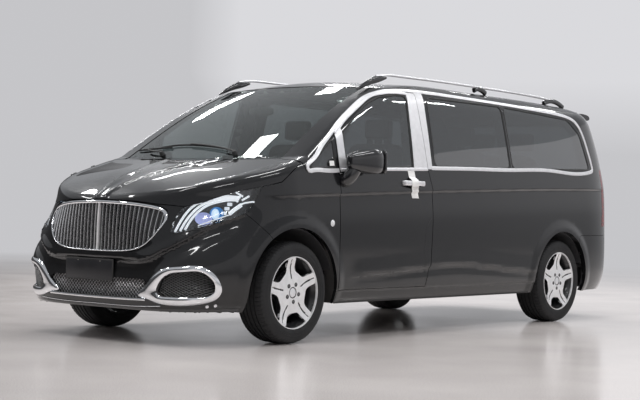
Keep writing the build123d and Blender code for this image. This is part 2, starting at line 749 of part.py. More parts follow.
with BuildPart() as knuckle_left:
    add(rod((STEERING_AXIS_X, FRONT_AXLE, 228), (STEERING_AXIS_X, FRONT_AXLE, 470), 24))
    add(rod((730, FRONT_AXLE, AXLE_HEIGHT), (840, FRONT_AXLE, AXLE_HEIGHT), 60))
    add(rod((835, FRONT_AXLE, AXLE_HEIGHT), (888, FRONT_AXLE, AXLE_HEIGHT), STUB_RADIUS))
write(knuckle_left.part, "knuckle_left")
write(mirrored(knuckle_left.part), "knuckle_right")


def wheel_plane(x, y):
    """The plane across a wheel's middle, looking out of the left side."""
    return Plane(origin=(x, y, AXLE_HEIGHT), x_dir=(0, 1, 0), z_dir=(1, 0, 0))


def rim(x, y):
    """A five-spoke rim with its hub and brake disc; the barrel runs across the tyre."""
    half = TYRE_WIDTH / 2 - 8
    with BuildPart() as wheel:
        with BuildSketch(wheel_plane(x - half, y)):
            Circle(RIM_RADIUS)
            Circle(RIM_RADIUS - 22, mode=Mode.SUBTRACT)
        extrude(amount=2 * half)
        with BuildSketch(wheel_plane(x + HUB_FACE, y)):
            Circle(80)
            with PolarLocations(0, 5, start_angle=90):
                Rectangle(RIM_RADIUS - 8, 62, align=(Align.MIN, Align.CENTER))
        extrude(amount=32)
        with BuildSketch(wheel_plane(x + 12, y)):
            Circle(60)
        extrude(amount=HUB_FACE)
        with BuildSketch(wheel_plane(x + 20, y)):
            Circle(165)
        extrude(amount=24)
        with BuildSketch(wheel_plane(x - 60, y)):
            Circle(BORE_RADIUS)
        extrude(amount=60 + HUB_FACE + 5, mode=Mode.SUBTRACT)
    return wheel.part


def tyre(x, y):
    """A tyre with a rounded shoulder, closed round the rim."""
    half = TYRE_WIDTH / 2
    section = [
        (RIM_RADIUS, -half + 8), (RIM_RADIUS + 45, -half),
        (TYRE_RADIUS - 22, -half + 6), (TYRE_RADIUS, -half + 24),
        (TYRE_RADIUS, half - 24), (TYRE_RADIUS - 22, half - 6),
        (RIM_RADIUS + 45, half), (RIM_RADIUS, half - 8),
    ]
    with BuildPart() as ring:
        with BuildSketch(Plane(origin=(x, y, AXLE_HEIGHT), x_dir=(0, 0, 1), z_dir=(0, -1, 0))):
            with BuildLine():
                Polyline(*section, close=True)
            make_face()
        revolve(axis=Axis((x, y, AXLE_HEIGHT), (1, 0, 0)))
    return ring.part


WHEELS = {"front": (FRONT_TRACK_HALF, FRONT_AXLE), "rear": (REAR_TRACK_HALF, REAR_AXLE)}
for place, (x, y) in WHEELS.items():
    rim_left = rim(x, y)
    write(rim_left, f"rim_{place}_left")
    write(mirrored(rim_left), f"rim_{place}_right")
    tyre_left = tyre(x, y)
    write(tyre_left, f"tyre_{place}_left")
    write(mirrored(tyre_left), f"tyre_{place}_right")
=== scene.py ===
"""A black long-wheelbase minivan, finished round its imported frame.

Sizes are in millimetres unless a name ends in _m. Places are given as x to the vehicle's left, distance
behind the front axle, and height above the ground, because the body is drawn that way.
"""

import logging
from dataclasses import dataclass, field
from enum import Enum
from math import cos, pi, radians, sin, tau
from typing import Callable, Sequence

import bmesh
import bpy
import numpy as np
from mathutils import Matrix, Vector


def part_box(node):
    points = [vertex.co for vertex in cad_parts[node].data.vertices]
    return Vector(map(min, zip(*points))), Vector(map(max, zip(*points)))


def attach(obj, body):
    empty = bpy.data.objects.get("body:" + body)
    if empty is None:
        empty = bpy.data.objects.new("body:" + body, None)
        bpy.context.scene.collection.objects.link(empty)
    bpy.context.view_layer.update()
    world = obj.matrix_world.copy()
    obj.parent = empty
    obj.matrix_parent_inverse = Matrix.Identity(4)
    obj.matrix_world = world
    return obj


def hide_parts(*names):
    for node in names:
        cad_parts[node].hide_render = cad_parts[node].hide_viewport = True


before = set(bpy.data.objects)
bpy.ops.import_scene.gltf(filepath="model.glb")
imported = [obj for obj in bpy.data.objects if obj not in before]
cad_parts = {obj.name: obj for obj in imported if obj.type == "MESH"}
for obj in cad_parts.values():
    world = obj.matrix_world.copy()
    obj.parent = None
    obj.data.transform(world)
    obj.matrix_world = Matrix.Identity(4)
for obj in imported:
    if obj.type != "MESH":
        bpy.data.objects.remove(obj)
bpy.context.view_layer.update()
LOG = logging.getLogger("minivan")

MM = 0.001
DOUBLE_M = 1e-6
WELD_M = 2e-5
LEFT = 1
RIGHT = -1
SIDES = {LEFT: "left", RIGHT: "right"}

Array = np.ndarray
Mesh = bmesh.types.BMesh
Socket = bpy.types.NodeSocket
Colour = tuple[float, float, float]
Place = tuple[float, float, float]
Pair = tuple[float, float]
Route = Sequence[Pair]


def centre_of(node: str) -> Vector:
    """Return the middle of a CAD node's box, in metres."""
    low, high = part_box(node)
    return (low + high) / 2


FRONT_AXLE_M = centre_of("tyre_front_left").y
REAR_AXLE = (centre_of("tyre_rear_left").y - FRONT_AXLE_M) / MM
AXLE_HEIGHT = centre_of("tyre_front_left").z / MM
FRONT_ARCH_RADIUS = 428.0
REAR_ARCH_RADIUS = 412.0


def placed(points: Array) -> Array:
    """Turn drawing places into the frame's metres.

    Args:
        points: Rows of x, distance behind the front axle and height, in millimetres.

    Returns:
        Rows of x, y and z in metres.
    """
    out = np.array(points, float) * MM
    out[..., 1] += FRONT_AXLE_M
    return out


def drawn(points: Array) -> Array:
    """Turn rows of x, y and z in metres into drawing places in millimetres."""
    out = np.array(points, float)
    out[..., 1] -= FRONT_AXLE_M
    return out / MM


def smooth(low: float, high: float, value: Array) -> Array:
    """Rise smoothly from 0 at low to 1 at high."""
    t = np.clip((np.asarray(value, float) - low) / (high - low), 0.0, 1.0)
    return t * t * (3.0 - 2.0 * t)


def unit(rows: Array) -> Array:
    """Scale each row to length one."""
    return rows / np.maximum(np.linalg.norm(rows, axis=-1, keepdims=True), 1e-12)


class Curve:
    """A natural cubic spline through knots, straight beyond its ends."""

    def __init__(self, knots: Route) -> None:
        """Fit the spline.

        Args:
            knots: Pairs of place and value, in rising order of place.
        """
        self.at = np.array([knot[0] for knot in knots], float)
        self.value = np.array([knot[1] for knot in knots], float)
        count = len(knots)
        step = np.diff(self.at)
        slope = np.diff(self.value) / step
        system = np.eye(count)
        right = np.zeros(count)
        for i in range(1, count - 1):
            system[i, i - 1:i + 2] = (step[i - 1], 2 * (step[i - 1] + step[i]), step[i])
            right[i] = 6 * (slope[i] - slope[i - 1])
        self.bend = np.linalg.solve(system, right)
        self.first = slope[0] - step[0] * self.bend[1] / 6
        self.last = slope[-1] + step[-1] * self.bend[-2] / 6

    def __call__(self, place: Array) -> Array:
        """Return the spline's value at each place."""
        place = np.asarray(place, float)
        inside = np.clip(place, self.at[0], self.at[-1])
        i = np.clip(np.searchsorted(self.at, inside) - 1, 0, len(self.at) - 2)
        step = self.at[i + 1] - self.at[i]
        after = (inside - self.at[i]) / step
        before = 1.0 - after
        value = before * self.value[i] + after * self.value[i + 1]
        value += ((before**3 - before) * self.bend[i] + (after**3 - after) * self.bend[i + 1]) * step**2 / 6
        beyond = place - inside
        return value + beyond * np.where(beyond < 0, self.first, self.last)


# ---------------------------------------------------------------- the body's form


@dataclass
class BodyForm:
    """The outer surface of the body: plan outlines at rising levels under a bonnet, screen and roof line.

    Every level is a height, half width, reach ahead of the front axle, the nose curve's two powers, and where
    the tail ends behind the front axle.
    """

    levels: Sequence[tuple[float, ...]] = (
        (190, 868, 838, 2.50, 5.60, 4380),
        (260, 915, 872, 2.50, 5.60, 4420),
        (350, 945, 884, 2.50, 5.60, 4457),
        (480, 957, 888, 2.50, 5.60, 4470),
        (620, 963, 888, 2.35, 4.20, 4461),
        (760, 964, 886, 2.10, 3.10, 4450),
        (900, 962, 878, 1.90, 2.45, 4445),
        (1030, 956, 868, 1.85, 2.35, 4445),
        (1150, 943, 858, 1.85, 2.35, 4443),
        (1250, 924, 850, 1.85, 2.35, 4435),
        (1400, 894, 845, 1.85, 2.35, 4410),
        (1550, 861, 840, 1.85, 2.35, 4367),
        (1700, 826, 835, 1.85, 2.35, 4303),
        (1800, 800, 830, 1.85, 2.35, 4245),
        (1900, 772, 825, 1.85, 2.35, 4175),
    )
    bonnet_line: Route = (
        (-1000, 870), (-900, 925), (-800, 985), (-700, 1035), (-550, 1090), (-400, 1135), (-200, 1182),
    )
    roof_line: Route = (
        (1200, 1842), (1500, 1868), (2200, 1880), (3200, 1874), (3900, 1852), (4300, 1825), (4700, 1790),
    )
    tail_start: float = 3775.0
    tail_powers: Pair = (7.0, 3.0)
    crown_x: float = 757.0
    crown_step: float = 0.02
    length_step: float = 5.0
    beside: float = 1040.0
    ahead: float = -960.0
    behind: float = 4560.0
    above: float = 2000.0
    edge_radius: Curve = field(init=False)

    def __post_init__(self) -> None:
        """Fit the level curves and tabulate the height of the top surface."""
        rows = np.array(self.levels, float)
        columns = [Curve(list(zip(rows[:, 0], rows[:, i]))) for i in range(1, 6)]
        self.half_width, self.nose, self.nose_end, self.nose_side, self.tail = columns
        self.crowns = np.arange(0, 2.3, self.crown_step)
        self.lengths = np.arange(-1150, 4900, self.length_step)
        self.heights = np.array([self.top_line(crown) for crown in self.crowns])
        radii = [(-900, 30), (-300, 45), (0, 50), (250, 60), (1000, 90), (1500, 110), (4300, 110)]
        self.edge_radius = Curve(radii)
        self.shoulder = Curve(
            [(-400, 965), (300, 993), (1100, 1027), (2413, 1075), (3287, 1102), (4300, 1122)]
        )
        self.lower_line = Curve([(500, 430), (1200, 470), (1900, 502), (2700, 450), (3100, 425)])
        self.bumper_line = Curve(
            [(0, 548), (300, 548), (455, 555), (560, 605), (693, 689), (778, 774), (900, 870)]
        )
        self.bonnet_crease = Curve([(-880, 42), (-750, 60), (-600, 92), (-161, 200), (60, 260)])
        self.bonnet_edge = Curve(
            [(-800, 475), (-705, 592), (-554, 690), (-441, 762), (-253, 818), (-25, 860)]
        )

    def top_line(self, crown: float) -> Array:
        """Return the top surface's heights along the vehicle where the crown has this strength."""
        bonnet = [(d, z - (70 - (d + 1000) * 0.048) * crown) for d, z in self.bonnet_line]
        base = (-60 + 150 * crown, 1215 + 20 * crown)
        screen = [
            (150 + 130 * crown, 1347 + 8 * crown),
            (400 + 110 * crown, 1497 - 2 * crown),
            (700 + 80 * crown, 1655 - 14 * crown),
        ]
        header = (1030 + 60 * crown, 1800 - 25 * crown)
        roof = [(d + (60 * crown if d < 1400 else 0), z - 52 * crown) for d, z in self.roof_line]
        parts = [Curve(bonnet + [base]), Curve([base] + screen + [header]), Curve([header] + roof)]
        ahead = self.lengths < base[0]
        behind = self.lengths > header[0]
        return np.select(
            [ahead, behind], [parts[0](self.lengths), parts[2](self.lengths)], parts[1](self.lengths)
        )

    def top(self, x: Array, d: Array) -> Array:
        """Return the top surface's height at x and a distance behind the front axle."""
        crown = np.clip((np.asarray(x) / self.crown_x) ** 2 / self.crown_step, 0, len(self.crowns) - 1.001)
        along = np.clip((np.asarray(d) - self.lengths[0]) / self.length_step, 0, len(self.lengths) - 1.001)
        i, j = crown.astype(int), along.astype(int)
        a, b = crown - i, along - j
        low = self.heights[i, j] * (1 - b) + self.heights[i, j + 1] * b
        high = self.heights[i + 1, j] * (1 - b) + self.heights[i + 1, j + 1] * b
        return low * (1 - a) + high * a

    def side_depth(self, x: Array, d: Array, z: Array) -> Array:
        """Return how far inside the plan outline each point lies."""
        width = self.half_width(z)
        ahead = d < 0
        reach = np.where(ahead, self.nose(z), self.tail(z) - self.tail_start)
        along = np.where(ahead, -d, np.maximum(d - self.tail_start, 0))
        side_power = np.where(ahead, self.nose_side(z), self.tail_powers[0])
        end_power = np.where(ahead, self.nose_end(z), self.tail_powers[1])
        across = np.abs(x)
        low = np.full(across.shape, -120.0)
        high = np.minimum(width, reach) - 1.0
        for _ in range(24):
            middle = (low + high) / 2
            inside = (across / (width - middle)) ** side_power + (along / (reach - middle)) ** end_power < 1
            low = np.where(inside, middle, low)
            high = np.where(inside, high, middle)
        return (low + high) / 2

    def sharp(self, x: Array, d: Array, z: Array) -> Array:
        """Return the height above the CAD surface, less than 0 inside it, with its edges left sharp."""
        return np.maximum(-self.side_depth(x, d, z), z - self.top(x, d))

    def rounded(self, x: Array, d: Array, z: Array) -> Array:
        """Return the height above the finished surface, with rounded edges and pressed lines."""
        height = self.top(x, d)
        slope_x = (self.top(x + 2, d) - height) / 2
        slope_d = (self.top(x, d + 2) - height) / 2
        above = (z - height) / np.sqrt(1 + slope_x**2 + slope_d**2)
        beside = -self.side_depth(x, d, z)
        radius = self.edge_radius(d)
        blend = np.maximum(radius - np.abs(above - beside), 0) / radius
        return np.maximum(above, beside) + blend**2 * radius / 4 - self.relief(x, d, z, beside - above)

    def relief(self, x: Array, d: Array, z: Array, sideness: Array) -> Array:
        """Return how far the pressed lines stand out from the plain form.

        Args:
            x: Distance from the middle.
            d: Distance behind the front axle.
            z: Height.
            sideness: More than 0 on the sides and less than 0 on the top.
        """
        across = np.abs(x)
        on_side = smooth(-20, 30, sideness)
        on_top = 1 - on_side
        flank = on_side * smooth(0.72, 0.9, across / self.half_width(z))
        out = self.side_lines(d, z) * flank
        for axle, radius in ((0.0, FRONT_ARCH_RADIUS), (REAR_AXLE, REAR_ARCH_RADIUS)):
            from_axle = np.hypot(d - axle, z - AXLE_HEIGHT)
            out += 11 * (1 - smooth(radius + 22, radius + 105, from_axle)) * flank
        nose = smooth(200, 330, -d) * on_side
        u = z - self.bumper_line(across)
        below = 9 - 26 * smooth(0, 22, -u) + 17 * smooth(60, 170, -u)
        step = np.where(u >= 0, 9 * (1 - smooth(0, 80, u)), below)
        inboard = 1 - smooth(820, 900, across)
        out += step * nose * inboard * (1 - smooth(700, 800, z) * smooth(560, 500, across))
        hood = on_top * (1 - smooth(-120, 20, d))
        inner = across - self.bonnet_crease(d)
        beyond = 5 - 9 * smooth(0, 26, inner) + 4 * smooth(40, 220, inner)
        out += hood * np.where(inner < 0, 5 * smooth(-90, 0, inner), beyond)
        edge = across - self.bonnet_edge(d)
        out += hood * smooth(-820, -650, d) * 3.5 * np.exp(-((edge / 26) ** 2))
        return out

    def side_lines(self, d: Array, z: Array) -> Array:
        """Return the relief of the shoulder line, lower line and sill along the flank."""
        u = z - self.shoulder(d)
        below = 6 - 12 * smooth(0, 15, -u) + 6 * smooth(20, 220, -u)
        line = np.where(u >= 0, 6 * (1 - smooth(0, 90, u)), below)
        out = line * smooth(-350, 200, d) * (1 - smooth(3950, 4300, d))
        u = z - self.lower_line(d)
        below = 6 - 11 * smooth(0, 18, -u) + 5 * smooth(25, 90, -u)
        line = np.where(u >= 0, 6 * (1 - smooth(0, 130, u)), below)
        out += line * smooth(520, 700, d) * (1 - smooth(2900, 3080, d))
        return out - 10 * (1 - smooth(331, 349, z)) * smooth(420, 446, d) * (1 - smooth(3000, 3030, d))

    def normal(self, points: Array) -> Array:
        """Return the outward normals of the finished surface at drawing places."""
        return unit(self.gradient(points))

    def gradient(self, points: Array, step: float = 5.0) -> Array:
        """Return how the height above the finished surface changes along each axis."""
        rows = []
        for axis in range(3):
            shift = np.zeros(3)
            shift[axis] = step
            ahead, back = (points + shift).T, (points - shift).T
            rows.append((self.rounded(*ahead) - self.rounded(*back)) / (2 * step))
        return np.stack(rows, axis=1)

    def settle(self, points: Array, level: Array | float = 0.0, rounds: int = 3) -> Array:
        """Move points along the surface's gradient until they lie at a height above it.

        Args:
            points: Drawing places.
            level: The wanted height above the finished surface.
            rounds: How many steps to take.

        Returns:
            The moved places.
        """
        points = np.array(points, float)
        for _ in range(rounds):
            slope = self.gradient(points)
            error = self.rounded(*points.T) - level
            points -= slope * (error / np.maximum((slope**2).sum(axis=1), 0.2))[:, None]
        return points

    def cast(
        self, start: Array, direction: Sequence[float], reach: float, level: Array | float = 0.0
    ) -> Array:
        """Move points along one direction until they meet the surface from outside.

        Args:
            start: Drawing places outside the body.
            direction: The way to go, of length one.
            reach: How far a point may go.
            level: The height above the surface to stop at.

        Returns:
            The places where they meet it.
        """
        start = np.array(start, float)
        way = np.array(direction, float)
        low, high = np.zeros(len(start)), np.full(len(start), float(reach))
        for _ in range(22):
            middle = (low + high) / 2
            outside = self.rounded(*(start + way * middle[:, None]).T) > level
            low = np.where(outside, middle, low)
            high = np.where(outside, high, middle)
        return start + way * high[:, None]

    def on_side(self, route: Array, side: int, level: float = 0.0) -> Array:
        """Return the places on one flank for rows of distance and height."""
        route = np.array(route, float)
        start = np.column_stack([np.full(len(route), side * self.beside), route])
        return self.cast(start, (-side, 0, 0), 500, level)

    def on_front(self, route: Array, level: float = 0.0) -> Array:
        """Return the places on the nose for rows of x and height."""
        route = np.array(route, float)
        start = np.column_stack([route[:, 0], np.full(len(route), self.ahead), route[:, 1]])
        return self.cast(start, (0, 1, 0), 900, level)

    def on_back(self, route: Array, level: float = 0.0) -> Array:
        """Return the places on the tail for rows of x and height."""
        route = np.array(route, float)
        start = np.column_stack([route[:, 0], np.full(len(route), self.behind), route[:, 1]])
        return self.cast(start, (0, -1, 0), 700, level)

    def on_top(self, route: Array, level: float = 0.0) -> Array:
        """Return the places on the bonnet, screen or roof for rows of x and distance."""
        route = np.array(route, float)
        start = np.column_stack([route, np.full(len(route), self.above)])
        return self.cast(start, (0, 0, -1), 1300, level)


FORM = BodyForm()


# ---------------------------------------------------------------- finishes


class Graph:
    """The nodes of one material, with short calls for what the finishes need."""

    def __init__(self, name: str) -> None:
        """Start a material with one shader on its output."""
        self.material = bpy.data.materials.new(name)
        self.material.use_nodes = True
        self.tree = self.material.node_tree
        self.tree.nodes.clear()
        self.shader = self.tree.nodes.new("ShaderNodeBsdfPrincipled")
        output = self.tree.nodes.new("ShaderNodeOutputMaterial")
        self.tree.links.new(self.shader.outputs[0], output.inputs["Surface"])
        self.place = self.tree.nodes.new("ShaderNodeTexCoord").outputs["Object"]

    def set(self, **values: float | Colour) -> None:
        """Set constant values on the shader's sockets, a space in a name written as an underscore."""
        for name, value in values.items():
            socket = self.shader.inputs[name.replace("_", " ")]
            socket.default_value = (*value, 1.0) if isinstance(value, tuple) else value

    def link(self, start: Socket, name: str) -> None:
        """Wire a socket to the shader's input of this name."""
        self.tree.links.new(start, self.shader.inputs[name])

    def noise(self, scale: float, detail: float) -> Socket:
        """Return a noise pattern's strength."""
        node = self.tree.nodes.new("ShaderNodeTexNoise")
        node.inputs["Scale"].default_value = scale
        node.inputs["Detail"].default_value = detail
        self.tree.links.new(self.place, node.inputs["Vector"])
        return node.outputs["Fac"]

    def cells(self, scale: float) -> Socket:
        """Return the distance to the nearest of many scattered points."""
        node = self.tree.nodes.new("ShaderNodeTexVoronoi")
        node.inputs["Scale"].default_value = scale
        self.tree.links.new(self.place, node.inputs["Vector"])
        return node.outputs["Distance"]

    def ramp(self, factor: Socket, stops: Sequence[tuple[float, Colour]]) -> Socket:
        """Return a colour that changes with a factor through the given stops."""
        node = self.tree.nodes.new("ShaderNodeValToRGB")
        stretch = node.color_ramp.elements
        while len(stretch) < len(stops):
            stretch.new(0.5)
        for element, (position, colour) in zip(stretch, stops):
            element.position = position
            element.color = (*colour, 1.0)
        self.tree.links.new(factor, node.inputs[0])
        return node.outputs[0]

    def share(
        self, value: Socket, start: float, end: float, low: float = 0.0, high: float = 1.0
    ) -> Socket:
        """Return low up to one value, rising evenly to high at another."""
        node = self.tree.nodes.new("ShaderNodeMapRange")
        for name, amount in (("From Min", start), ("From Max", end), ("To Min", low), ("To Max", high)):
            node.inputs[name].default_value = amount
        self.tree.links.new(value, node.inputs["Value"])
        return node.outputs[0]

    def spread(self, factor: Socket, low: float, high: float) -> Socket:
        """Return a noise's usual range spread from low to high."""
        return self.share(factor, 0.3, 0.7, low, high)

    def height_ramp(self, low_m: float, high_m: float) -> Socket:
        """Return 1 below a height in metres, falling to 0 at another."""
        split = self.tree.nodes.new("ShaderNodeSeparateXYZ")
        self.tree.links.new(self.place, split.inputs[0])
        return self.share(split.outputs["Z"], low_m, high_m, 1.0, 0.0)

    def math(self, work: str, first: Socket, second: Socket) -> Socket:
        """Return two strengths worked together."""
        node = self.tree.nodes.new("ShaderNodeMath")
        node.operation = work
        self.tree.links.new(first, node.inputs[0])
        self.tree.links.new(second, node.inputs[1])
        return node.outputs[0]

    def bump(self, height: Socket, strength: float, depth_m: float) -> None:
        """Raise the surface by a pattern.

        Args:
            height: The pattern.
            strength: How much of it shows.
            depth_m: The pattern's depth, in metres.
        """
        node = self.tree.nodes.new("ShaderNodeBump")
        node.inputs["Strength"].default_value = strength
        node.inputs["Distance"].default_value = depth_m
        self.tree.links.new(height, node.inputs["Height"])
        self.link(node.outputs[0], "Normal")


@dataclass(frozen=True)
class Finish:
    """A named surface finish that stands for one of the record's material slots."""

    name: str
    slot: str

    def dress(self, graph: Graph) -> None:
        """Set up the finish's shader."""

    def material(self) -> bpy.types.Material:
        """Return the finish's material, made on first use."""
        made = bpy.data.materials.get(self.name)
        if made:
            return made
        graph = Graph(self.name)
        self.dress(graph)
        return graph.material


@dataclass(frozen=True)
class Paint(Finish):
    """Solid colour under clear coat, with orange peel and a little road film low down."""

    colour: Colour = (0.004, 0.004, 0.005)
    film: Colour = (0.012, 0.012, 0.012)

    def dress(self, graph: Graph) -> None:
        """Set up the clear coat over a nearly even colour."""
        graph.set(Roughness=0.30, Specular_IOR_Level=0.1, Coat_Weight=1.0, Coat_Roughness=0.02, Coat_IOR=1.48)
        low_down = graph.math("MULTIPLY", graph.height_ramp(0.28, 0.75), graph.noise(7.0, 6.0))
        graph.link(graph.ramp(low_down, [(0.0, self.colour), (0.8, self.film)]), "Base Color")
        graph.bump(graph.noise(90.0, 1.0), 0.02, 0.0003)


@dataclass(frozen=True)
class Metal(Finish):
    """Plated, machined or cast metal."""

    colour: Colour = (0.80, 0.81, 0.83)
    roughness: Pair = (0.05, 0.10)
    grain_scale: float = 30.0
    grain_depth: float = 0.0001
    metallic: float = 1.0

    def dress(self, graph: Graph) -> None:
        """Set up the metal and its fine grain."""
        graph.set(Metallic=self.metallic)
        pattern = graph.noise(self.grain_scale, 3.0)
        darker = tuple(0.90 * part for part in self.colour)
        graph.link(graph.ramp(pattern, [(0.3, darker), (0.7, self.colour)]), "Base Color")
        graph.link(graph.spread(pattern, *self.roughness), "Roughness")
        graph.bump(pattern, 0.15, self.grain_depth)


@dataclass(frozen=True)
class Plastic(Finish):
    """Moulded plastic or rubber, with a fine grain."""

    colour: Colour = (0.020, 0.020, 0.021)
    roughness: Pair = (0.45, 0.62)
    grain_scale: float = 700.0
    grain_depth: float = 0.0003
    coat: float = 0.0

    def dress(self, graph: Graph) -> None:
        """Set up the grain and the colour's slow drift."""
        graph.set(Coat_Weight=self.coat, Coat_Roughness=0.04)
        drift = graph.noise(9.0, 4.0)
        lighter = tuple(1.35 * part for part in self.colour)
        graph.link(graph.ramp(drift, [(0.3, self.colour), (0.75, lighter)]), "Base Color")
        graph.link(graph.spread(drift, *self.roughness), "Roughness")
        graph.bump(graph.cells(self.grain_scale), 0.25, self.grain_depth)


@dataclass(frozen=True)
class Cloth(Finish):
    """Carpet or headlining: short pile."""

    colour: Colour = (0.03, 0.03, 0.032)

    def dress(self, graph: Graph) -> None:
        """Set up the pile and its sheen."""
        graph.set(Roughness=0.95, Sheen_Weight=0.3, Sheen_Roughness=0.5)
        pile = graph.noise(900.0, 3.0)
        lighter = tuple(1.7 * part for part in self.colour)
        graph.link(graph.ramp(pile, [(0.35, self.colour), (0.7, lighter)]), "Base Color")
        graph.bump(pile, 0.5, 0.002)


@dataclass(frozen=True)
class Leather(Finish):
    """Grained seat leather, paler on its worn high spots."""

    colour: Colour = (0.050, 0.044, 0.040)

    def dress(self, graph: Graph) -> None:
        """Set up the grain and the worn sheen."""
        grain = graph.cells(330.0)
        wear = graph.noise(11.0, 5.0)
        lighter = tuple(1.8 * part for part in self.colour)
        graph.link(graph.ramp(wear, [(0.35, self.colour), (0.75, lighter)]), "Base Color")
        graph.link(graph.spread(wear, 0.38, 0.58), "Roughness")
        graph.set(Coat_Weight=0.15, Coat_Roughness=0.35)
        graph.bump(grain, 0.35, 0.0012)


@dataclass(frozen=True)
class Glass(Finish):
    """A pane or a lens: clear or tinted, very smooth."""

    tint: Colour = (0.40, 0.44, 0.43)
    film: float = 0.0

    def dress(self, graph: Graph) -> None:
        """Set up transmission with the tint held a little uneven, as toughened glass is."""
        graph.set(Roughness=0.0, IOR=1.45, Transmission_Weight=1.0)
        graph.set(Coat_Weight=self.film, Coat_Roughness=0.0, Coat_IOR=1.9)
        quench = graph.noise(3.0, 1.0)
        deeper = tuple(0.94 * part for part in self.tint)
        graph.link(graph.ramp(quench, [(0.3, deeper), (0.7, self.tint)]), "Base Color")


@dataclass(frozen=True)
class PaintedGlow(Finish):
    """A lamp's milky plastic with a painted glow: a little emission makes it read bright, standing in for the
    light that it catches and reflects.
    """

    colour: Colour = (0.90, 0.93, 0.96)
    glow: float = 0.62

    def dress(self, graph: Graph) -> None:
        """Set up the milky body and its even painted glow."""
        # The emission is painted glow, standing in for light caught in the plastic.
        graph.set(Roughness=0.18, Coat_Weight=0.6, Emission_Color=self.colour, Emission_Strength=self.glow)
        core = graph.noise(60.0, 2.0)
        duller = tuple(0.9 * part for part in self.colour)
        graph.link(graph.ramp(core, [(0.3, duller), (0.7, self.colour)]), "Base Color")


BLACK_PAINT = Paint("black_paint", "paint")
BRIGHT_TRIM = Metal("bright_trim", "chrome")
SILVER_TRIM = Metal("silver_trim", "chrome", colour=(0.86, 0.86, 0.88), roughness=(0.30, 0.42), metallic=0.55)
ALLOY_FACE = Metal(
    "alloy_face", "alloy", colour=(0.86, 0.86, 0.87), roughness=(0.30, 0.38), metallic=0.3, grain_depth=0.0
)
ALLOY_POCKET = Plastic(
    "alloy_pocket", "alloy", colour=(0.012, 0.012, 0.013), roughness=(0.25, 0.35), coat=0.5
)
BRAKE_IRON = Metal(
    "brake_iron", "castings", colour=(0.32, 0.31, 0.30), roughness=(0.28, 0.45), grain_scale=90.0
)
CAST_METAL = Metal(
    "cast_metal", "castings", colour=(0.20, 0.20, 0.21), roughness=(0.45, 0.65), grain_depth=0.001
)
PIPE_STEEL = Metal("pipe_steel", "steel", colour=(0.42, 0.40, 0.37), roughness=(0.30, 0.50))
DARK_PLASTIC = Plastic("dark_plastic", "dark_plastic", (0.011, 0.011, 0.012))
GLOSS_BLACK = Plastic(
    "gloss_black", "dark_plastic", (0.008, 0.008, 0.009), (0.10, 0.16), coat=0.8, grain_depth=0.0
)
SEAL_RUBBER = Plastic("seal_rubber", "dark_plastic", (0.010, 0.010, 0.010), (0.55, 0.70))
TYRE_RUBBER = Plastic("tyre_rubber", "tyre", (0.010, 0.010, 0.011), (0.62, 0.80), 420.0, 0.0005)
UNDERSEAL = Plastic("underseal", "underbody", (0.028, 0.028, 0.030), (0.60, 0.80), 160.0, 0.0015)
SEAT_LEATHER = Leather("seat_leather", "seat_leather")
CARPET = Cloth("carpet", "dark_plastic")
HEADLINING = Cloth("headlining", "dark_plastic", (0.22, 0.21, 0.20))
DOOR_TRIM = Plastic("door_trim", "dark_plastic", (0.035, 0.033, 0.032), (0.50, 0.65), 240.0, 0.0006)
SCREEN_GLASS = Glass("screen_glass", "glass", (0.62, 0.68, 0.66))
SIDE_GLASS = Glass("side_glass", "glass", (0.30, 0.33, 0.34), 0.9)
REAR_TINT = Glass("rear_tint", "glass", (0.16, 0.18, 0.19), 1.0)
LAMP_LENS = Glass("lamp_lens", "lamp_clear", (0.93, 0.95, 0.97))
# Painted glow on the headlamp's light bars.
LAMP_BAR_PAINTED_GLOW = PaintedGlow("lamp_bar_painted_glow", "lamp_clear")
RED_GLASS = Glass("red_lens", "lamp_red", (0.50, 0.012, 0.012))
# Painted glow on the tail lamps' guides, the high brake lamp and the rear reflectors.
RED_GUIDE_PAINTED_GLOW = PaintedGlow("red_guide_painted_glow", "lamp_red", (0.60, 0.02, 0.02), 0.12)
SLAT_METAL = Metal("slat_metal", "chrome", (0.78, 0.78, 0.79), (0.14, 0.22), metallic=0.9)
SILVER_WIRE = Metal("silver_wire", "chrome", (0.50, 0.50, 0.51), (0.25, 0.35))
MESH_METAL = Metal("mesh_metal", "chrome", (0.20, 0.20, 0.20), (0.30, 0.42))
# Painted glow on the small cells, the projector's lens and the reflector bowl, standing in for the light they
# reflect.
LAMP_CELL_PAINTED_GLOW = PaintedGlow("lamp_cell_painted_glow", "lamp_clear", (0.88, 0.93, 0.97), 0.55)
PROJECTOR_PAINTED_GLOW = PaintedGlow("projector_painted_glow", "lamp_clear", (0.74, 0.90, 1.0), 0.60)
REFLECTOR_PAINTED_GLOW = PaintedGlow("reflector_painted_glow", "lamp_clear", (0.50, 0.55, 0.92), 0.30)
PLATE_GREY = Plastic("plate_grey", "dark_plastic", (0.012, 0.012, 0.014), (0.30, 0.42), 300.0, 0.0002)
LAMP_BLACK = Plastic(
    "lamp_black", "dark_plastic", (0.006, 0.006, 0.008), (0.12, 0.20), coat=0.6, grain_depth=0.0
)
# Painted glow on the projector's bowl, standing in for its blue reflection.
LAMP_BLUE_PAINTED_GLOW = PaintedGlow("lamp_blue_painted_glow", "lamp_clear", (0.02, 0.20, 0.48), 0.35)
MARKER_WHITE = Plastic(
    "marker_white", "lamp_clear", (0.72, 0.73, 0.74), (0.08, 0.14), coat=0.8, grain_depth=0.0
)
MIRROR_GLASS = Metal("mirror_glass", "chrome", (0.85, 0.87, 0.90), (0.01, 0.02))
WHITE_TAPE = Plastic("white_tape", "dark_plastic", (0.78, 0.78, 0.77), (0.55, 0.70), 500.0, 0.0003)


class Level(Enum):
    """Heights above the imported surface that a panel's faces lie at."""

    OUTSIDE = 0.0
    GLASS_OUTSIDE = -3.0
    GLASS_INSIDE = -8.0
    PANEL_INSIDE = -30.0


# ---------------------------------------------------------------- making meshes


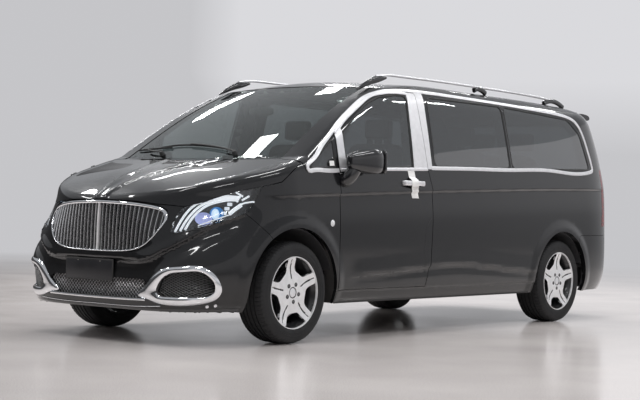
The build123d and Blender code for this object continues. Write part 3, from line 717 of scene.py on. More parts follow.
def finish_mesh(
    bm: Mesh, name: str, body: str, finishes: Sequence[Finish], sharp: float = 35.0
) -> bpy.types.Object:
    """Turn a bmesh into a piece that rides on a body.

    Args:
        bm: The finished shape, in metres in the frame.
        name: The piece's name.
        body: The CAD body it moves with.
        finishes: Its finishes, in the order of its faces' material indices.
        sharp: The angle in degrees past which an edge stays crisp.

    Returns:
        The new object.
    """
    mesh = bpy.data.meshes.new(name)
    bm.to_mesh(mesh)
    bm.free()
    mesh.shade_smooth()
    mesh.set_sharp_from_angle(angle=radians(sharp))
    piece = bpy.data.objects.new(name, mesh)
    bpy.context.scene.collection.objects.link(piece)
    for finish in finishes:
        mesh.materials.append(finish.material())
    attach(piece, body)
    LOG.info("%s: %d faces on %s", name, len(mesh.polygons), body)
    return piece


def fit(bm: Mesh, name: str, finish: Finish, sharp: float = 35.0, body: str = "chassis") -> bpy.types.Object:
    """Turn a bmesh into a piece of one finish, on the chassis unless a body is named."""
    return finish_mesh(bm, name, body, (finish,), sharp)


def join_into(target: Mesh, *parts: Mesh) -> None:
    """Add bmeshes to another and free them."""
    for part in parts:
        mesh = bpy.data.meshes.new("scratch")
        part.to_mesh(mesh)
        part.free()
        target.from_mesh(mesh)
        bpy.data.meshes.remove(mesh)


def together(*parts: Mesh) -> Mesh:
    """Return one bmesh with the faces of many, and free them."""
    bm = bmesh.new()
    join_into(bm, *parts)
    return bm


def closed_up(bm: Mesh, end_sides: int = 0) -> Mesh:
    """Merge a mesh's doubles, fill ends of up to so many sides and turn its faces outward."""
    bmesh.ops.remove_doubles(bm, verts=bm.verts, dist=DOUBLE_M)
    if end_sides:
        bmesh.ops.holes_fill(bm, edges=[edge for edge in bm.edges if edge.is_boundary], sides=end_sides)
    bmesh.ops.recalc_face_normals(bm, faces=bm.faces)
    return bm


def mirrored(bm: Mesh, side: int) -> Mesh:
    """Turn a left piece into the one for a side."""
    if side == RIGHT:
        bmesh.ops.scale(bm, vec=(-1, 1, 1), verts=bm.verts)
        bmesh.ops.reverse_faces(bm, faces=bm.faces)
    return bm


def patch(columns: int, rows: int, shape: Callable[[Array, Array], Array]) -> Mesh:
    """Make a grid and bend it into place.

    Args:
        columns: Faces across.
        rows: Faces up.
        shape: Gives rows of x, y and z in metres from the across and up shares, each from 0 to 1.

    Returns:
        The bent grid.
    """
    bm = bmesh.new()
    bmesh.ops.create_grid(bm, x_segments=columns, y_segments=rows, size=0.5)
    flat = np.array([vert.co[:2] for vert in bm.verts]) + 0.5
    for vert, place in zip(bm.verts, shape(flat[:, 0], flat[:, 1])):
        vert.co = place
    return bm


def rounded_section(width: float, height: float, points: int = 12, power: float = 2.6) -> Array:
    """Return a closed section between a rectangle and an ellipse, as rows of across and up."""
    turn = np.arange(points) * tau / points
    across = np.sign(np.cos(turn)) * np.abs(np.cos(turn)) ** (2 / power) * width / 2
    up = np.sign(np.sin(turn)) * np.abs(np.sin(turn)) ** (2 / power) * height / 2
    return np.column_stack([across, up])


def evenly(points: Array, spacing: float, closed: bool = False, curved: bool = True) -> Array:
    """Return a smooth run through points, at an even spacing.

    Args:
        points: The places to pass through.
        spacing: The distance between the new places, in the points' unit.
        closed: Whether the run comes back to its start.
        curved: Whether to round it, or to keep its runs straight.

    Returns:
        The new places.
    """
    points = np.array(points, float)
    if closed:
        points = np.vstack([points[-2:], points, points[:3]]) if curved else np.vstack([points, points[:1]])
    lengths = np.concatenate([[0], np.cumsum(np.linalg.norm(np.diff(points, axis=0), axis=1))])
    first, last = (lengths[2], lengths[-3]) if closed and curved else (0.0, lengths[-1])
    count = max(int(round((last - first) / spacing)), 2)
    at = np.linspace(first, last, count + 1)
    if closed:
        at = at[:-1]
    columns = []
    for column in points.T:
        line = Curve(list(zip(lengths, column))) if curved and len(points) > 2 else None
        columns.append(line(at) if line else np.interp(at, lengths, column))
    return np.column_stack(columns)


def sweep(path: Array, up: Array, section: Array, closed: bool = False, scale: Array | None = None) -> Mesh:
    """Draw a closed section along a path.

    Args:
        path: Places in metres.
        up: The section's up at each place.
        section: Rows of across and up, in millimetres.
        closed: Whether the path comes back to its start.
        scale: How much to widen and heighten the section at each place.

    Returns:
        The swept solid.
    """
    count, sides = len(path), len(section)
    if closed:
        along = unit(np.roll(path, -1, axis=0) - np.roll(path, 1, axis=0))
    else:
        along = unit(np.gradient(path, axis=0))
    across = unit(np.cross(along, up))
    up = unit(np.cross(across, along))
    if scale is None:
        scale = np.ones((count, 2))
    steps = count if closed else count - 1

    def shape(share: Array, turn: Array) -> Array:
        i = np.round(share * steps).astype(int) % count
        j = np.round(turn * sides).astype(int) % sides
        a = section[j, 0] * scale[i, 0] * MM
        b = section[j, 1] * scale[i, 1] * MM
        return path[i] + across[i] * a[:, None] + up[i] * b[:, None]

    return closed_up(patch(steps, sides, shape), 0 if closed else sides)


def upright(count: int) -> Array:
    """Return that many upward directions, for a sweep whose section stays upright."""
    return np.tile([0.0, 0.0, 1.0], (count, 1))


def tube(path: Sequence[Sequence[float]], radius: float, sides: int = 12, spacing: float = 20.0) -> Mesh:
    """Draw a round bar along drawing places."""
    line = placed(evenly(path, spacing))
    along = unit(np.gradient(line, axis=0))
    helper = np.where(np.abs(along[:, 2:]) > 0.9, [[1.0, 0.0, 0.0]], [[0.0, 0.0, 1.0]])
    return sweep(
        line, np.cross(np.cross(along, helper), along), rounded_section(2 * radius, 2 * radius, sides, 2.0)
    )


def turned(profile: Route, centre: Vector, axis: Vector, steps: int = 48) -> Mesh:
    """Spin a profile into a closed round solid.

    Args:
        profile: Rows of radius and place along the axis, in millimetres.
        centre: The axis's foot, in metres.
        axis: The axis's direction.
        steps: How many faces round.

    Returns:
        The solid.
    """
    bm = bmesh.new()
    side = axis.orthogonal().normalized()
    verts = [bm.verts.new(centre + side * (radius * MM) + axis * (place * MM)) for radius, place in profile]
    edges = [bm.edges.new(pair) for pair in zip(verts, verts[1:])]
    bmesh.ops.spin(
        bm, geom=verts + edges, cent=centre, axis=axis, angle=tau, steps=steps, use_merge=True,
        use_duplicate=False
    )
    return closed_up(bm)


def box_mesh(low: Sequence[float], high: Sequence[float], edge: float = 0.0, segments: int = 2) -> Mesh:
    """Make a box between two drawing places, its edges rounded by a radius."""
    low_m, high_m = placed([low, high])
    bm = bmesh.new()
    bmesh.ops.create_cube(bm, size=1.0)
    bmesh.ops.scale(bm, vec=high_m - low_m, verts=bm.verts)
    bmesh.ops.translate(bm, vec=(high_m + low_m) / 2, verts=bm.verts)
    if edge:
        bmesh.ops.bevel(
            bm, geom=bm.edges[:], offset=edge * MM, segments=segments, profile=0.5, affect="EDGES",
            material=-1
        )
    return bm


# ---------------------------------------------------------------- the body's panels


NOSE_LIMIT = -894.8


@dataclass
class Cuts:
    """Where a panel is sliced before it is shaped, as spacings or lists of places along each axis."""

    across: Sequence[float] = ()
    along: Sequence[float] = ()
    up: Sequence[float] = ()


def run(start: float, end: float, step: float) -> list[float]:
    """Return even places from start to end."""
    return list(np.arange(start, end, step))


ARCH_CUTS = run(-560, 570, 26)
REAR_ARCH_CUTS = [REAR_AXLE + place for place in run(-545, 555, 26)]
SIDE_ALONG = ARCH_CUTS + run(600, 2850, 150) + REAR_ARCH_CUTS + run(4000, 4440, 22)
SIDE_UP = run(262, 960, 26) + [334, 340, 346] + run(968, 1132, 9) + run(1150, 1760, 45) + run(1765, 1850, 14)
NOSE_ALONG = run(-870, -560, 22) + ARCH_CUTS
NOSE_ACROSS = run(-960, 961, 30)
TAIL_ALONG = run(3700, 4250, 40) + run(4250, 4440, 14)
TAIL_ACROSS = run(-930, -680, 18) + run(-660, 661, 60) + run(690, 931, 18)


@dataclass
class Panel:
    """A body panel: the CAD node's shape, sliced finely and settled on the finished surface."""

    node: str
    body: str
    finishes: Sequence[Finish]
    cuts: Cuts
    outside: Level = Level.OUTSIDE
    inside: Level | None = None
    tolerance: float = 2.6
    outside_at: float | None = None
    inside_at: float | None = None
    tray: bool = False

    def sliced(self) -> Mesh:
        """Copy the node's mesh and cut it along the panel's planes."""
        bm = bmesh.new()
        bm.from_mesh(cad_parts[self.node].data)
        bmesh.ops.remove_doubles(bm, verts=bm.verts, dist=WELD_M)
        bmesh.ops.dissolve_limit(
            bm, angle_limit=radians(0.02), verts=bm.verts, edges=bm.edges, delimit={"SHARP"}
        )
        low, high = drawn([list(corner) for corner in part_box(self.node)])
        for axis, places in enumerate((self.cuts.across, self.cuts.along, self.cuts.up)):
            way = [0.0, 0.0, 0.0]
            way[axis] = 1.0
            for place in places:
                if low[axis] + 1 < place < high[axis] - 1:
                    spot = np.zeros(3)
                    spot[axis] = place
                    self.cut(bm, placed(spot), way)
        bmesh.ops.remove_doubles(bm, verts=bm.verts, dist=WELD_M)
        return bm

    @staticmethod
    def cut(bm: Mesh, spot: Array, way: Sequence[float]) -> None:
        """Slice every face that a plane crosses."""
        geometry = bm.verts[:] + bm.edges[:] + bm.faces[:]
        bmesh.ops.bisect_plane(bm, geom=geometry, dist=1e-5, plane_co=spot, plane_no=way)

    def build(self) -> bpy.types.Object:
        """Make the panel, and hide the node that it stands for unless the panel is a tray."""
        bm = self.sliced()
        bm.verts.ensure_lookup_table()
        points = drawn([vert.co for vert in bm.verts])
        height = FORM.sharp(*points.T)
        outer = np.abs(height - self.outside.value) < self.tolerance
        level = self.outside.value if self.outside_at is None else self.outside_at
        points[outer] = FORM.settle(points[outer], level)
        moved = [outer]
        if self.inside is not None:
            inner = np.abs(height - self.inside.value) < self.tolerance
            level = self.inside.value if self.inside_at is None else self.inside_at
            points[inner] = FORM.settle(points[inner], level)
            moved.append(inner)
        points[:, 1] = np.maximum(points[:, 1], NOSE_LIMIT)
        for vert, place in zip(bm.verts, placed(points)):
            vert.co = place
        if self.tray:
            hidden = [face for face in bm.faces if not outer[[vert.index for vert in face.verts]].all()]
            bmesh.ops.delete(bm, geom=hidden, context="FACES_ONLY")
        bmesh.ops.triangulate(bm, faces=bm.faces)
        self.mark(bm, outer)
        normals = FORM.normal(points)
        return self.shaded(bm, moved, normals)

    def mark(self, bm: Mesh, outer: Array) -> None:
        """Give each face its finish: the first outside, the second on the rest."""
        last = len(self.finishes) - 1
        for face in bm.faces:
            index = [vert.index for vert in face.verts]
            face.material_index = 0 if outer[index].any() else min(1, last)

    def shaded(self, bm: Mesh, moved: Sequence[Array], normals: Array) -> bpy.types.Object:
        """Turn the mesh into the panel's object, lit by the true surface's normals.

        Args:
            bm: The panel's mesh.
            moved: For each skin, which vertices lie on it.
            normals: The surface's outward normal at every vertex.

        Returns:
            The panel.
        """
        bm.normal_update()
        corners = []
        for face in bm.faces:
            index = [vert.index for vert in face.verts]
            flat = np.array(face.normal)
            skin = any(on[index].all() for on in moved)
            if skin and abs(flat @ normals[index[0]]) > 0.5:
                sign = np.sign(flat @ normals[index[0]])
                corners.extend(normals[index] * sign)
            else:
                corners.extend([flat] * len(index))
        kind = "tray" if self.tray else "skin"
        piece = finish_mesh(bm, f"{self.node}_{kind}", self.body, self.finishes, 180.0)
        piece.data.normals_split_custom_set([tuple(corner) for corner in corners])
        if not self.tray:
            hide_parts(self.node)
        return piece


# ---------------------------------------------------------------- trim laid on the body


Caster = Callable[[Array, float], Array]


def ringed(outline: Route, centre: Sequence[float], count: int) -> Array:
    """Return where an outline's smooth curve crosses rays from a centre, at even angles."""
    offset = evenly(outline, 4.0, closed=True) - centre
    angle = np.arctan2(offset[:, 1], offset[:, 0])
    turn = np.linspace(-pi, pi, count, endpoint=False)
    reach = np.interp(turn, np.sort(angle), np.hypot(*offset.T)[np.argsort(angle)], period=tau)
    return np.array(centre) + np.column_stack([np.cos(turn), np.sin(turn)]) * reach[:, None]


def inset(outline: Array, width: Array | float) -> Array:
    """Move a dense closed outline inward by a width at each place."""
    along = unit(np.roll(outline, -1, axis=0) - np.roll(outline, 1, axis=0))
    inward = np.column_stack([-along[:, 1], along[:, 0]])
    area = np.sum(outline[:, 0] * np.roll(outline[:, 1], -1) - np.roll(outline[:, 0], -1) * outline[:, 1])
    return outline + inward * np.sign(area) * np.reshape(np.broadcast_to(width, len(outline)), (-1, 1))


def band(outer: Array, inner: Array, profile: Route, cast: Caster) -> Mesh:
    """Stretch a ring of trim between two matched outlines on the body.

    Args:
        outer: The outer outline's places.
        inner: The inner outline's places, one for each outer place.
        profile: Rows of the share of the way inward and the height above the body.
        cast: Lays a route on the body at a height.

    Returns:
        The ring.
    """
    rows = np.stack([placed(cast(outer * (1 - share) + inner * share, level)) for share, level in profile])
    count = len(outer)

    def shape(turn: Array, share: Array) -> Array:
        i = np.round(turn * count).astype(int) % count
        j = np.round(share * (len(profile) - 1)).astype(int)
        return rows[j, i]

    bm = patch(count, len(profile) - 1, shape)
    bmesh.ops.remove_doubles(bm, verts=bm.verts, dist=DOUBLE_M)
    return bm


def chords(outline: Array, spot: Array, along: Array) -> list[tuple[Array, Array]]:
    """Return the stretches of a line that lie inside a closed outline.

    Args:
        outline: The outline's places.
        spot: A place on the line.
        along: The line's direction, of length one.

    Returns:
        The start and end of each stretch.
    """
    across = np.array([-along[1], along[0]])
    side = (outline - spot) @ across
    after = np.roll(side, -1)
    hit = (side < 0) != (after < 0)
    share = side[hit] / (side[hit] - after[hit])
    places = outline[hit] + (np.roll(outline, -1, axis=0)[hit] - outline[hit]) * share[:, None]
    places = places[np.argsort(places @ along)]
    return list(zip(places[0::2], places[1::2]))


def strips(
    routes: Sequence[Array], section: Array, cast: Caster, level: float = 0.0, spacing: float = 35.0
) -> Mesh:
    """Lay many swept strips on the body at once.

    Args:
        routes: The routes, as rows on the body's front or side view.
        section: The strips' section, in millimetres.
        cast: Lays a route on the body at a height.
        level: The height of the section's middle.
        spacing: The distance between a strip's cross-sections.

    Returns:
        The strips, joined.
    """
    runs = [evenly(route, spacing, curved=len(route) > 2) for route in routes]
    places = cast(np.vstack(runs), level)
    normals = FORM.normal(places)
    bm = bmesh.new()
    start = 0
    for line in runs:
        end = start + len(line)
        join_into(bm, sweep(placed(places[start:end]), normals[start:end], section))
        start = end
    return bm


def lattice(
    outline: Array, pitch: float, slope: float, thickness: float, level: float, cast: Caster
) -> Mesh:
    """Weave two families of slanted wires inside an outline on the body.

    Args:
        outline: The opening's places.
        pitch: The distance between wires.
        slope: The wires' angle to the level, in degrees.
        thickness: The wires' thickness.
        level: Their height above the body.
        cast: Lays a route on the body at a height.

    Returns:
        The wires.
    """
    middle = outline.mean(axis=0)
    routes = []
    for turn in (radians(slope), -radians(slope)):
        along, across = np.array([cos(turn), sin(turn)]), np.array([-sin(turn), cos(turn)])
        reach = (outline - middle) @ across
        for offset in np.arange(reach.min() + pitch / 2, reach.max(), pitch):
            routes += chords(outline, middle + across * offset, along)
    section = rounded_section(thickness, thickness, 4, 2.0)
    return strips(routes, section, cast, level, 60.0)


def backing(outline: Array, level: float, cast: Caster, name: str) -> None:
    """Close an opening in the chassis with a black sheet behind it."""
    low, high = outline.min(axis=0) - 25, outline.max(axis=0) + 25

    def shape(across: Array, up: Array) -> Array:
        return placed(cast(low + np.column_stack([across, up]) * (high - low), level))

    fit(patch(12, 6, shape), name, DARK_PLASTIC)


def disc_on(spot: Sequence[float], outward: Sequence[float], profile: Route, steps: int) -> Mesh:
    """Turn a small round part that stands on the body at a drawing place."""
    return turned(profile, Vector(placed(spot)), Vector(outward).normalized(), steps)


def stud(spot: Array, profile: Route, steps: int) -> Mesh:
    """Turn a small round part that stands square on the body's surface."""
    return disc_on(spot, FORM.normal(spot[None])[0], profile, steps)


# ---------------------------------------------------------------- the nose


def mirror_route(route: Route, side: int) -> Array:
    """Return a left route for the side asked for."""
    return np.array(route, float) * (side, 1)


@dataclass
class Grille:
    """The bright frame with its upright slats over a black back."""

    half: Route = (
        (0, 918), (140, 915), (300, 907), (440, 890), (510, 866), (538, 832), (540, 796), (520, 748),
        (484, 694), (420, 634), (320, 600), (160, 588),
    )
    slats: int = 31
    slat_reach: float = 505.0
    slat_width: float = 7.5
    slat_depth: float = 26.0
    frame_profile: Route = (
        (0.0, -10), (0.03, -3), (0.2, 1.5), (0.5, 2.5), (0.8, 1), (0.97, -4), (1.0, -14), (1.0, -32),
    )

    def outline(self) -> Array:
        """Return the frame's outer outline as a dense closed run."""
        other = [(-x, height) for x, height in self.half[:0:-1]]
        return evenly([*self.half, (0, 586), *other], 14.0, closed=True)

    def build(self) -> None:
        """Build the back, the frame and the slats."""
        cuts = Cuts(run(-520, 530, 60), (), run(620, 900, 40))
        Panel("grille", "chassis", (GLOSS_BLACK,), cuts, tolerance=12.0, outside_at=-36.0).build()
        outer = self.outline()
        inner = inset(outer, 9 + 13 * smooth(700, 880, outer[:, 1]))
        frame_ring = band(outer, inner, self.frame_profile, FORM.on_front)
        fit(frame_ring, "grille_frame", BRIGHT_TRIM, 60.0)
        routes = []
        for x in np.linspace(-self.slat_reach, self.slat_reach, self.slats):
            if abs(x) > 1:
                routes += chords(inner, np.array([x, 0.0]), np.array([0.0, 1.0]))
        blade = rounded_section(self.slat_width, self.slat_depth, 10, 2.4)
        fit(strips(routes, blade, FORM.on_front, -17.0, 30.0), "grille_slats", SLAT_METAL)
        middle = [[(0.0, 590.0), (0.0, 750.0), (0.0, 905.0)]]
        centre = strips(middle, rounded_section(10, 30, 10, 2.4), FORM.on_front, -12.0, 20.0)
        fit(centre, "grille_centre_slat", ALLOY_FACE)


@dataclass
class CornerIntake:
    """A bright ring with a wide inner foot round a diamond mesh, low at the bumper's corner."""

    outer: Route = (
        (367, 316), (440, 299), (530, 275), (613, 263), (700, 263), (775, 274), (835, 302), (864, 358),
        (864, 419), (843, 478), (793, 517), (711, 516), (640, 510), (580, 500), (533, 472), (474, 412),
        (420, 362),
    )
    inner: Route = (
        (544, 350), (556, 329), (600, 320), (700, 320), (779, 323), (826, 334), (849, 381), (840, 438),
        (800, 478), (720, 476), (645, 466), (590, 436), (556, 395),
    )
    centre: Pair = (700.0, 395.0)
    profile: Route = (
        (0.0, -6), (0.04, 2), (0.25, 7), (0.55, 8.5), (0.85, 5), (1.0, -2), (1.0, -14), (1.0, -28),
    )

    def build(self, side: int) -> None:
        """Build the ring, its mesh and the sheet behind them."""
        name = SIDES[side]
        outer = ringed(self.outer, self.centre, 120) * (side, 1)
        inner = ringed(self.inner, self.centre, 120) * (side, 1)
        fit(band(outer, inner, self.profile, FORM.on_front), f"intake_ring_{name}", BRIGHT_TRIM, 60)
        wires = lattice(inset(inner, -4.0), 14.0, 30.0, 4.6, -18.0, FORM.on_front)
        fit(wires, f"intake_mesh_{name}", MESH_METAL)
        backing(inner, -40.0, FORM.on_front, f"intake_back_{name}")


@dataclass
class LowerIntake:
    """The middle intake's mesh, the bright strips under it and the plate in front of it."""

    outline: Route = (
        (-385, 296), (385, 296), (425, 350), (470, 405), (455, 428), (-455, 428), (-470, 405), (-425, 350),
    )
    plate_x: Pair = (-290.0, 160.0)
    plate_z: Pair = (395.0, 537.0)
    plate_front: float = -893.0
    screws: Pair = (-170.0, 40.0)
    wide_strip: Route = ((-450, 293), (-200, 289), (0, 288), (200, 289), (450, 293))
    thin_strip: Route = ((-560, 258), (-400, 249), (0, 246), (400, 249), (560, 258))
    lip: Route = ((-868, 238), (-560, 235), (0, 233), (560, 235), (868, 238))

    def build(self) -> None:
        """Build the mesh, strips and plate."""
        shape = np.array(self.outline, float)
        wires = lattice(shape, 20.0, 45.0, 2.4, -16.0, FORM.on_front)
        fit(wires, "lower_mesh", SILVER_WIRE)
        backing(shape, -40.0, FORM.on_front, "lower_mesh_back")
        bright = strips([self.wide_strip], rounded_section(15, 12, 12), FORM.on_front, 2.0)
        join_into(bright, strips([self.thin_strip], rounded_section(7, 8, 10), FORM.on_front, 1.0))
        fit(bright, "lower_bright_strips", BRIGHT_TRIM)
        lip = strips([self.lip], rounded_section(26, 16, 12), FORM.on_front, -5.0)
        fit(lip, "lower_lip", GLOSS_BLACK)
        self.plate()

    def plate(self) -> None:
        """Build the blank number plate in its holder, with two screws."""
        (left, right), (low, high) = self.plate_x, self.plate_z
        front = self.plate_front
        holder = box_mesh((left, front + 2, low), (right, front + 11, high), 2.5)
        piece = fit(holder, "plate_frame", DARK_PLASTIC)
        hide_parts("plate_holder")
        for rise in (low, high - 9):
            bar = box_mesh((left, front, rise), (right, front + 8, rise + 9), 2.0)
            fit(bar, f"plate_rail_{int(rise)}", DARK_PLASTIC)
        blank = box_mesh((left + 6, front + 0.6, low + 9), (right - 6, front + 4, high - 9), 0.8)
        fit(blank, "blank_plate", PLATE_GREY)
        screws = bmesh.new()
        head = [(0.01, 2.6), (3, 2.6), (4.5, 1.6), (5, 0), (5, -2)]
        for x in self.screws:
            join_into(screws, disc_on((x, front + 2.6, high - 16), (0, -1, 0), head, 16))
        fit(screws, "plate_screws", PIPE_STEEL)


@dataclass
class Headlamp:
    """A clear lens over a black tray with three light bars, a projector and small reflectors."""

    bars: Sequence[Route] = (
        ((602, 727), (615, 803), (629, 854), (650, 893), (684, 926), (730, 948), (774, 958), (829, 955)),
        ((628, 733), (640, 800), (655, 848), (677, 888), (708, 916), (744, 936), (786, 946), (826, 944)),
        ((651, 740), (660, 794), (672, 838), (691, 874), (719, 904), (757, 924), (796, 936), (824, 934)),
    )
    tabs: Sequence[Route] = (
        ((812, 986), (837, 960)), ((836, 936), (856, 964)), ((808, 950), (824, 924)),
    )
    lower_line: Route = ((706, 768), (753, 797), (791, 824), (817, 843))
    outer_line: Route = ((817, 843), (824, 884), (838, 912), (874, 929))
    kick: Route = ((812, 846), (822, 876), (838, 906))
    projector: Pair = (741.0, 846.0)
    reflector: Pair = (700.0, 812.0)
    cells: Route = ((791.0, 908.0), (786.0, 880.0), (782.0, 851.0))
    tray_depth: float = -62.0

    def build(self, side: int) -> None:
        """Build the lens and what shows through it."""
        name = SIDES[side]
        node = f"headlamp_{name}"
        cuts = Cuts(run(-900, 901, 24), run(-840, -200, 24), run(730, 1040, 24))
        Panel(node, "chassis", (LAMP_LENS,), cuts, inside=Level.PANEL_INSIDE, tolerance=9.0, outside_at=-1.0,
              inside_at=-3.5).build()
        Panel(
            node, "chassis", (LAMP_BLACK,), cuts, tolerance=9.0, outside_at=self.tray_depth, tray=True
        ).build()
        light = bmesh.new()
        for routes, width in (
            (self.bars, 16), (self.tabs, 13), ((self.lower_line,), 6), ((self.outer_line,), 11),
            ((self.kick,), 26),
        ):
            runs = [mirror_route(route, side) for route in routes]
            join_into(light, strips(runs, rounded_section(width, 10, 12), FORM.on_front, -14.0, 14))
        # The light bars carry a painted glow.
        fit(light, f"light_bars_{name}", LAMP_BAR_PAINTED_GLOW)
        self.bowls(side)

    def bowls(self, side: int) -> None:
        """Build the projector, the side reflector and the three small cells beside it, each with a painted
        glow.
        """
        name = SIDES[side]
        spot = FORM.on_front([(side * self.projector[0], self.projector[1])], -46.0)[0]
        ring = [(0.01, -8), (30, -8), (38, 4), (40, 14), (43, 16), (44, 10), (42, -6), (38, -14)]
        # The projector's bowl and lens and the reflector bowl glow to stand in for their reflections: painted
        # reflection.
        fit(self.oval(spot, side, ring, 1.05), f"projector_bowl_{name}", LAMP_BLUE_PAINTED_GLOW)
        dome = [(36 * sin(a), 6 + 24 * cos(a)) for a in np.linspace(0.15, 1.5, 10)]
        dome = [(0.01, 30), *dome, (36, 2), (0.01, 0)]
        spot = spot - (side * 14.0, 0.0, 4.0)
        fit(self.oval(spot, side, dome, 0.72), f"projector_lens_{name}", PROJECTOR_PAINTED_GLOW)
        spot = FORM.on_front([(side * self.reflector[0], self.reflector[1])], -40.0)[0]
        bowl = [(0.01, -10), (16, -9), (30, -3), (38, 8), (41, 9), (40, 3), (34, -8)]
        fit(self.oval(spot, side, bowl, 1.4), f"reflector_bowl_{name}", REFLECTOR_PAINTED_GLOW)
        cells = bmesh.new()
        for x, height in self.cells:
            spot = FORM.on_front([(side * x, height)], -24.0)[0]
            join_into(cells, box_mesh(spot - (15, 10, 11), spot + (15, 10, 11), 4.0))
        fit(cells, f"lamp_cells_{name}", LAMP_CELL_PAINTED_GLOW)

    @staticmethod
    def oval(spot: Array, side: int, profile: Route, stretch: float) -> Mesh:
        """Turn a bowl or a dome that looks ahead and outward, and stretch it sideways.

        Args:
            spot: Its middle, a drawing place.
            side: The side that it stands on.
            profile: Rows of radius and height.
            stretch: How many times wider than high it is.

        Returns:
            The bowl.
        """
        bm = disc_on(spot, (side * 0.45, -0.89, 0.05), profile, 40)
        middle = Vector(placed(spot[None])[0])
        across = Vector((0.89, side * 0.45, 0.0)).normalized()
        for vert in bm.verts:
            vert.co += across * (vert.co - middle).dot(across) * (stretch - 1)
        return bm


@dataclass
class NoseDetails:
    """Washer caps, side markers and small plugs."""

    washer: Route = ((690, 735), (716, 745), (752, 741), (756, 706), (722, 698), (694, 708))
    marker: Pair = (359.0, 799.0)
    plugs: Route = ((800.0, 262.0), (828.0, 268.0))

    def build(self, side: int) -> None:
        """Build one side's details."""
        name = SIDES[side]
        outline = evenly(mirror_route(self.washer, side), 8.0, closed=True)
        cap = band(outline, inset(outline, 2.5), [(0, -1), (0, 2), (0.6, 3.2), (1, 3.4)], FORM.on_front)
        fit(cap, f"washer_cap_edge_{name}", GLOSS_BLACK)
        marker = FORM.on_side([self.marker], side)[0]
        lens = [(0.01, 7), (10, 6.5), (17, 4.5), (20, 1), (20, -6)]
        fit(disc_on(marker, (side, 0, 0), lens, 32), f"side_marker_{name}", MARKER_WHITE)
        ring = [(20, -4), (20.5, 2.5), (23, 2), (24, -3)]
        fit(disc_on(marker, (side, 0, 0), ring, 32), f"side_marker_ring_{name}", BRIGHT_TRIM)
        for x, height in self.plugs:
            spot = FORM.on_front([(side * x, height)])[0]
            plug = stud(spot, [(0.01, 1), (6, 1), (9, 3), (11, 2), (11.5, -3)], 20)
            fit(plug, f"bumper_plug_{name}_{int(x)}", BRIGHT_TRIM)


# ---------------------------------------------------------------- the flanks


DOOR_WINDOW = ((534, 1178), (1312, 1210), (1362, 1735), (1250, 1735), (1034, 1705), (865, 1640), (534, 1424))
QUARTER_WINDOW = ((125, 1168), (412, 1174), (412, 1370))
MIDDLE_WINDOW = ((1600, 1226), (2655, 1247), (2655, 1742), (1625, 1742))
REAR_SIDE_WINDOW = ((2687, 1248), (3940, 1280), (3860, 1580), (3690, 1700), (2687, 1742))
SEAL_PROFILE = ((0, -2), (0.1, 1.4), (0.6, 1.8), (1, -1), (1, -7))


def softened(outline: Route, radius: float, spacing: float = 16.0) -> Array:
    """Return a closed outline with its corners rounded, evenly spaced.

    Args:
        outline: The corners in order.
        radius: How far each rounding reaches along the edges beside its corner.
        spacing: The distance between the returned places.

    Returns:
        The places.
    """
    corners = np.array(outline, float)
    before = unit(np.roll(corners, 1, axis=0) - corners) * radius
    after = unit(np.roll(corners, -1, axis=0) - corners) * radius
    rows = []
    for corner, back, on in zip(corners, before, after):
        rows += [corner + back * (1 - t) ** 2 + on * t**2 for t in np.linspace(0, 1, 7)]
    return evenly(rows, spacing, closed=True, curved=False)


def side_caster(side: int) -> Caster:
    """Return the caster for one flank."""
    return lambda route, level=0.0: FORM.on_side(route, side, level)


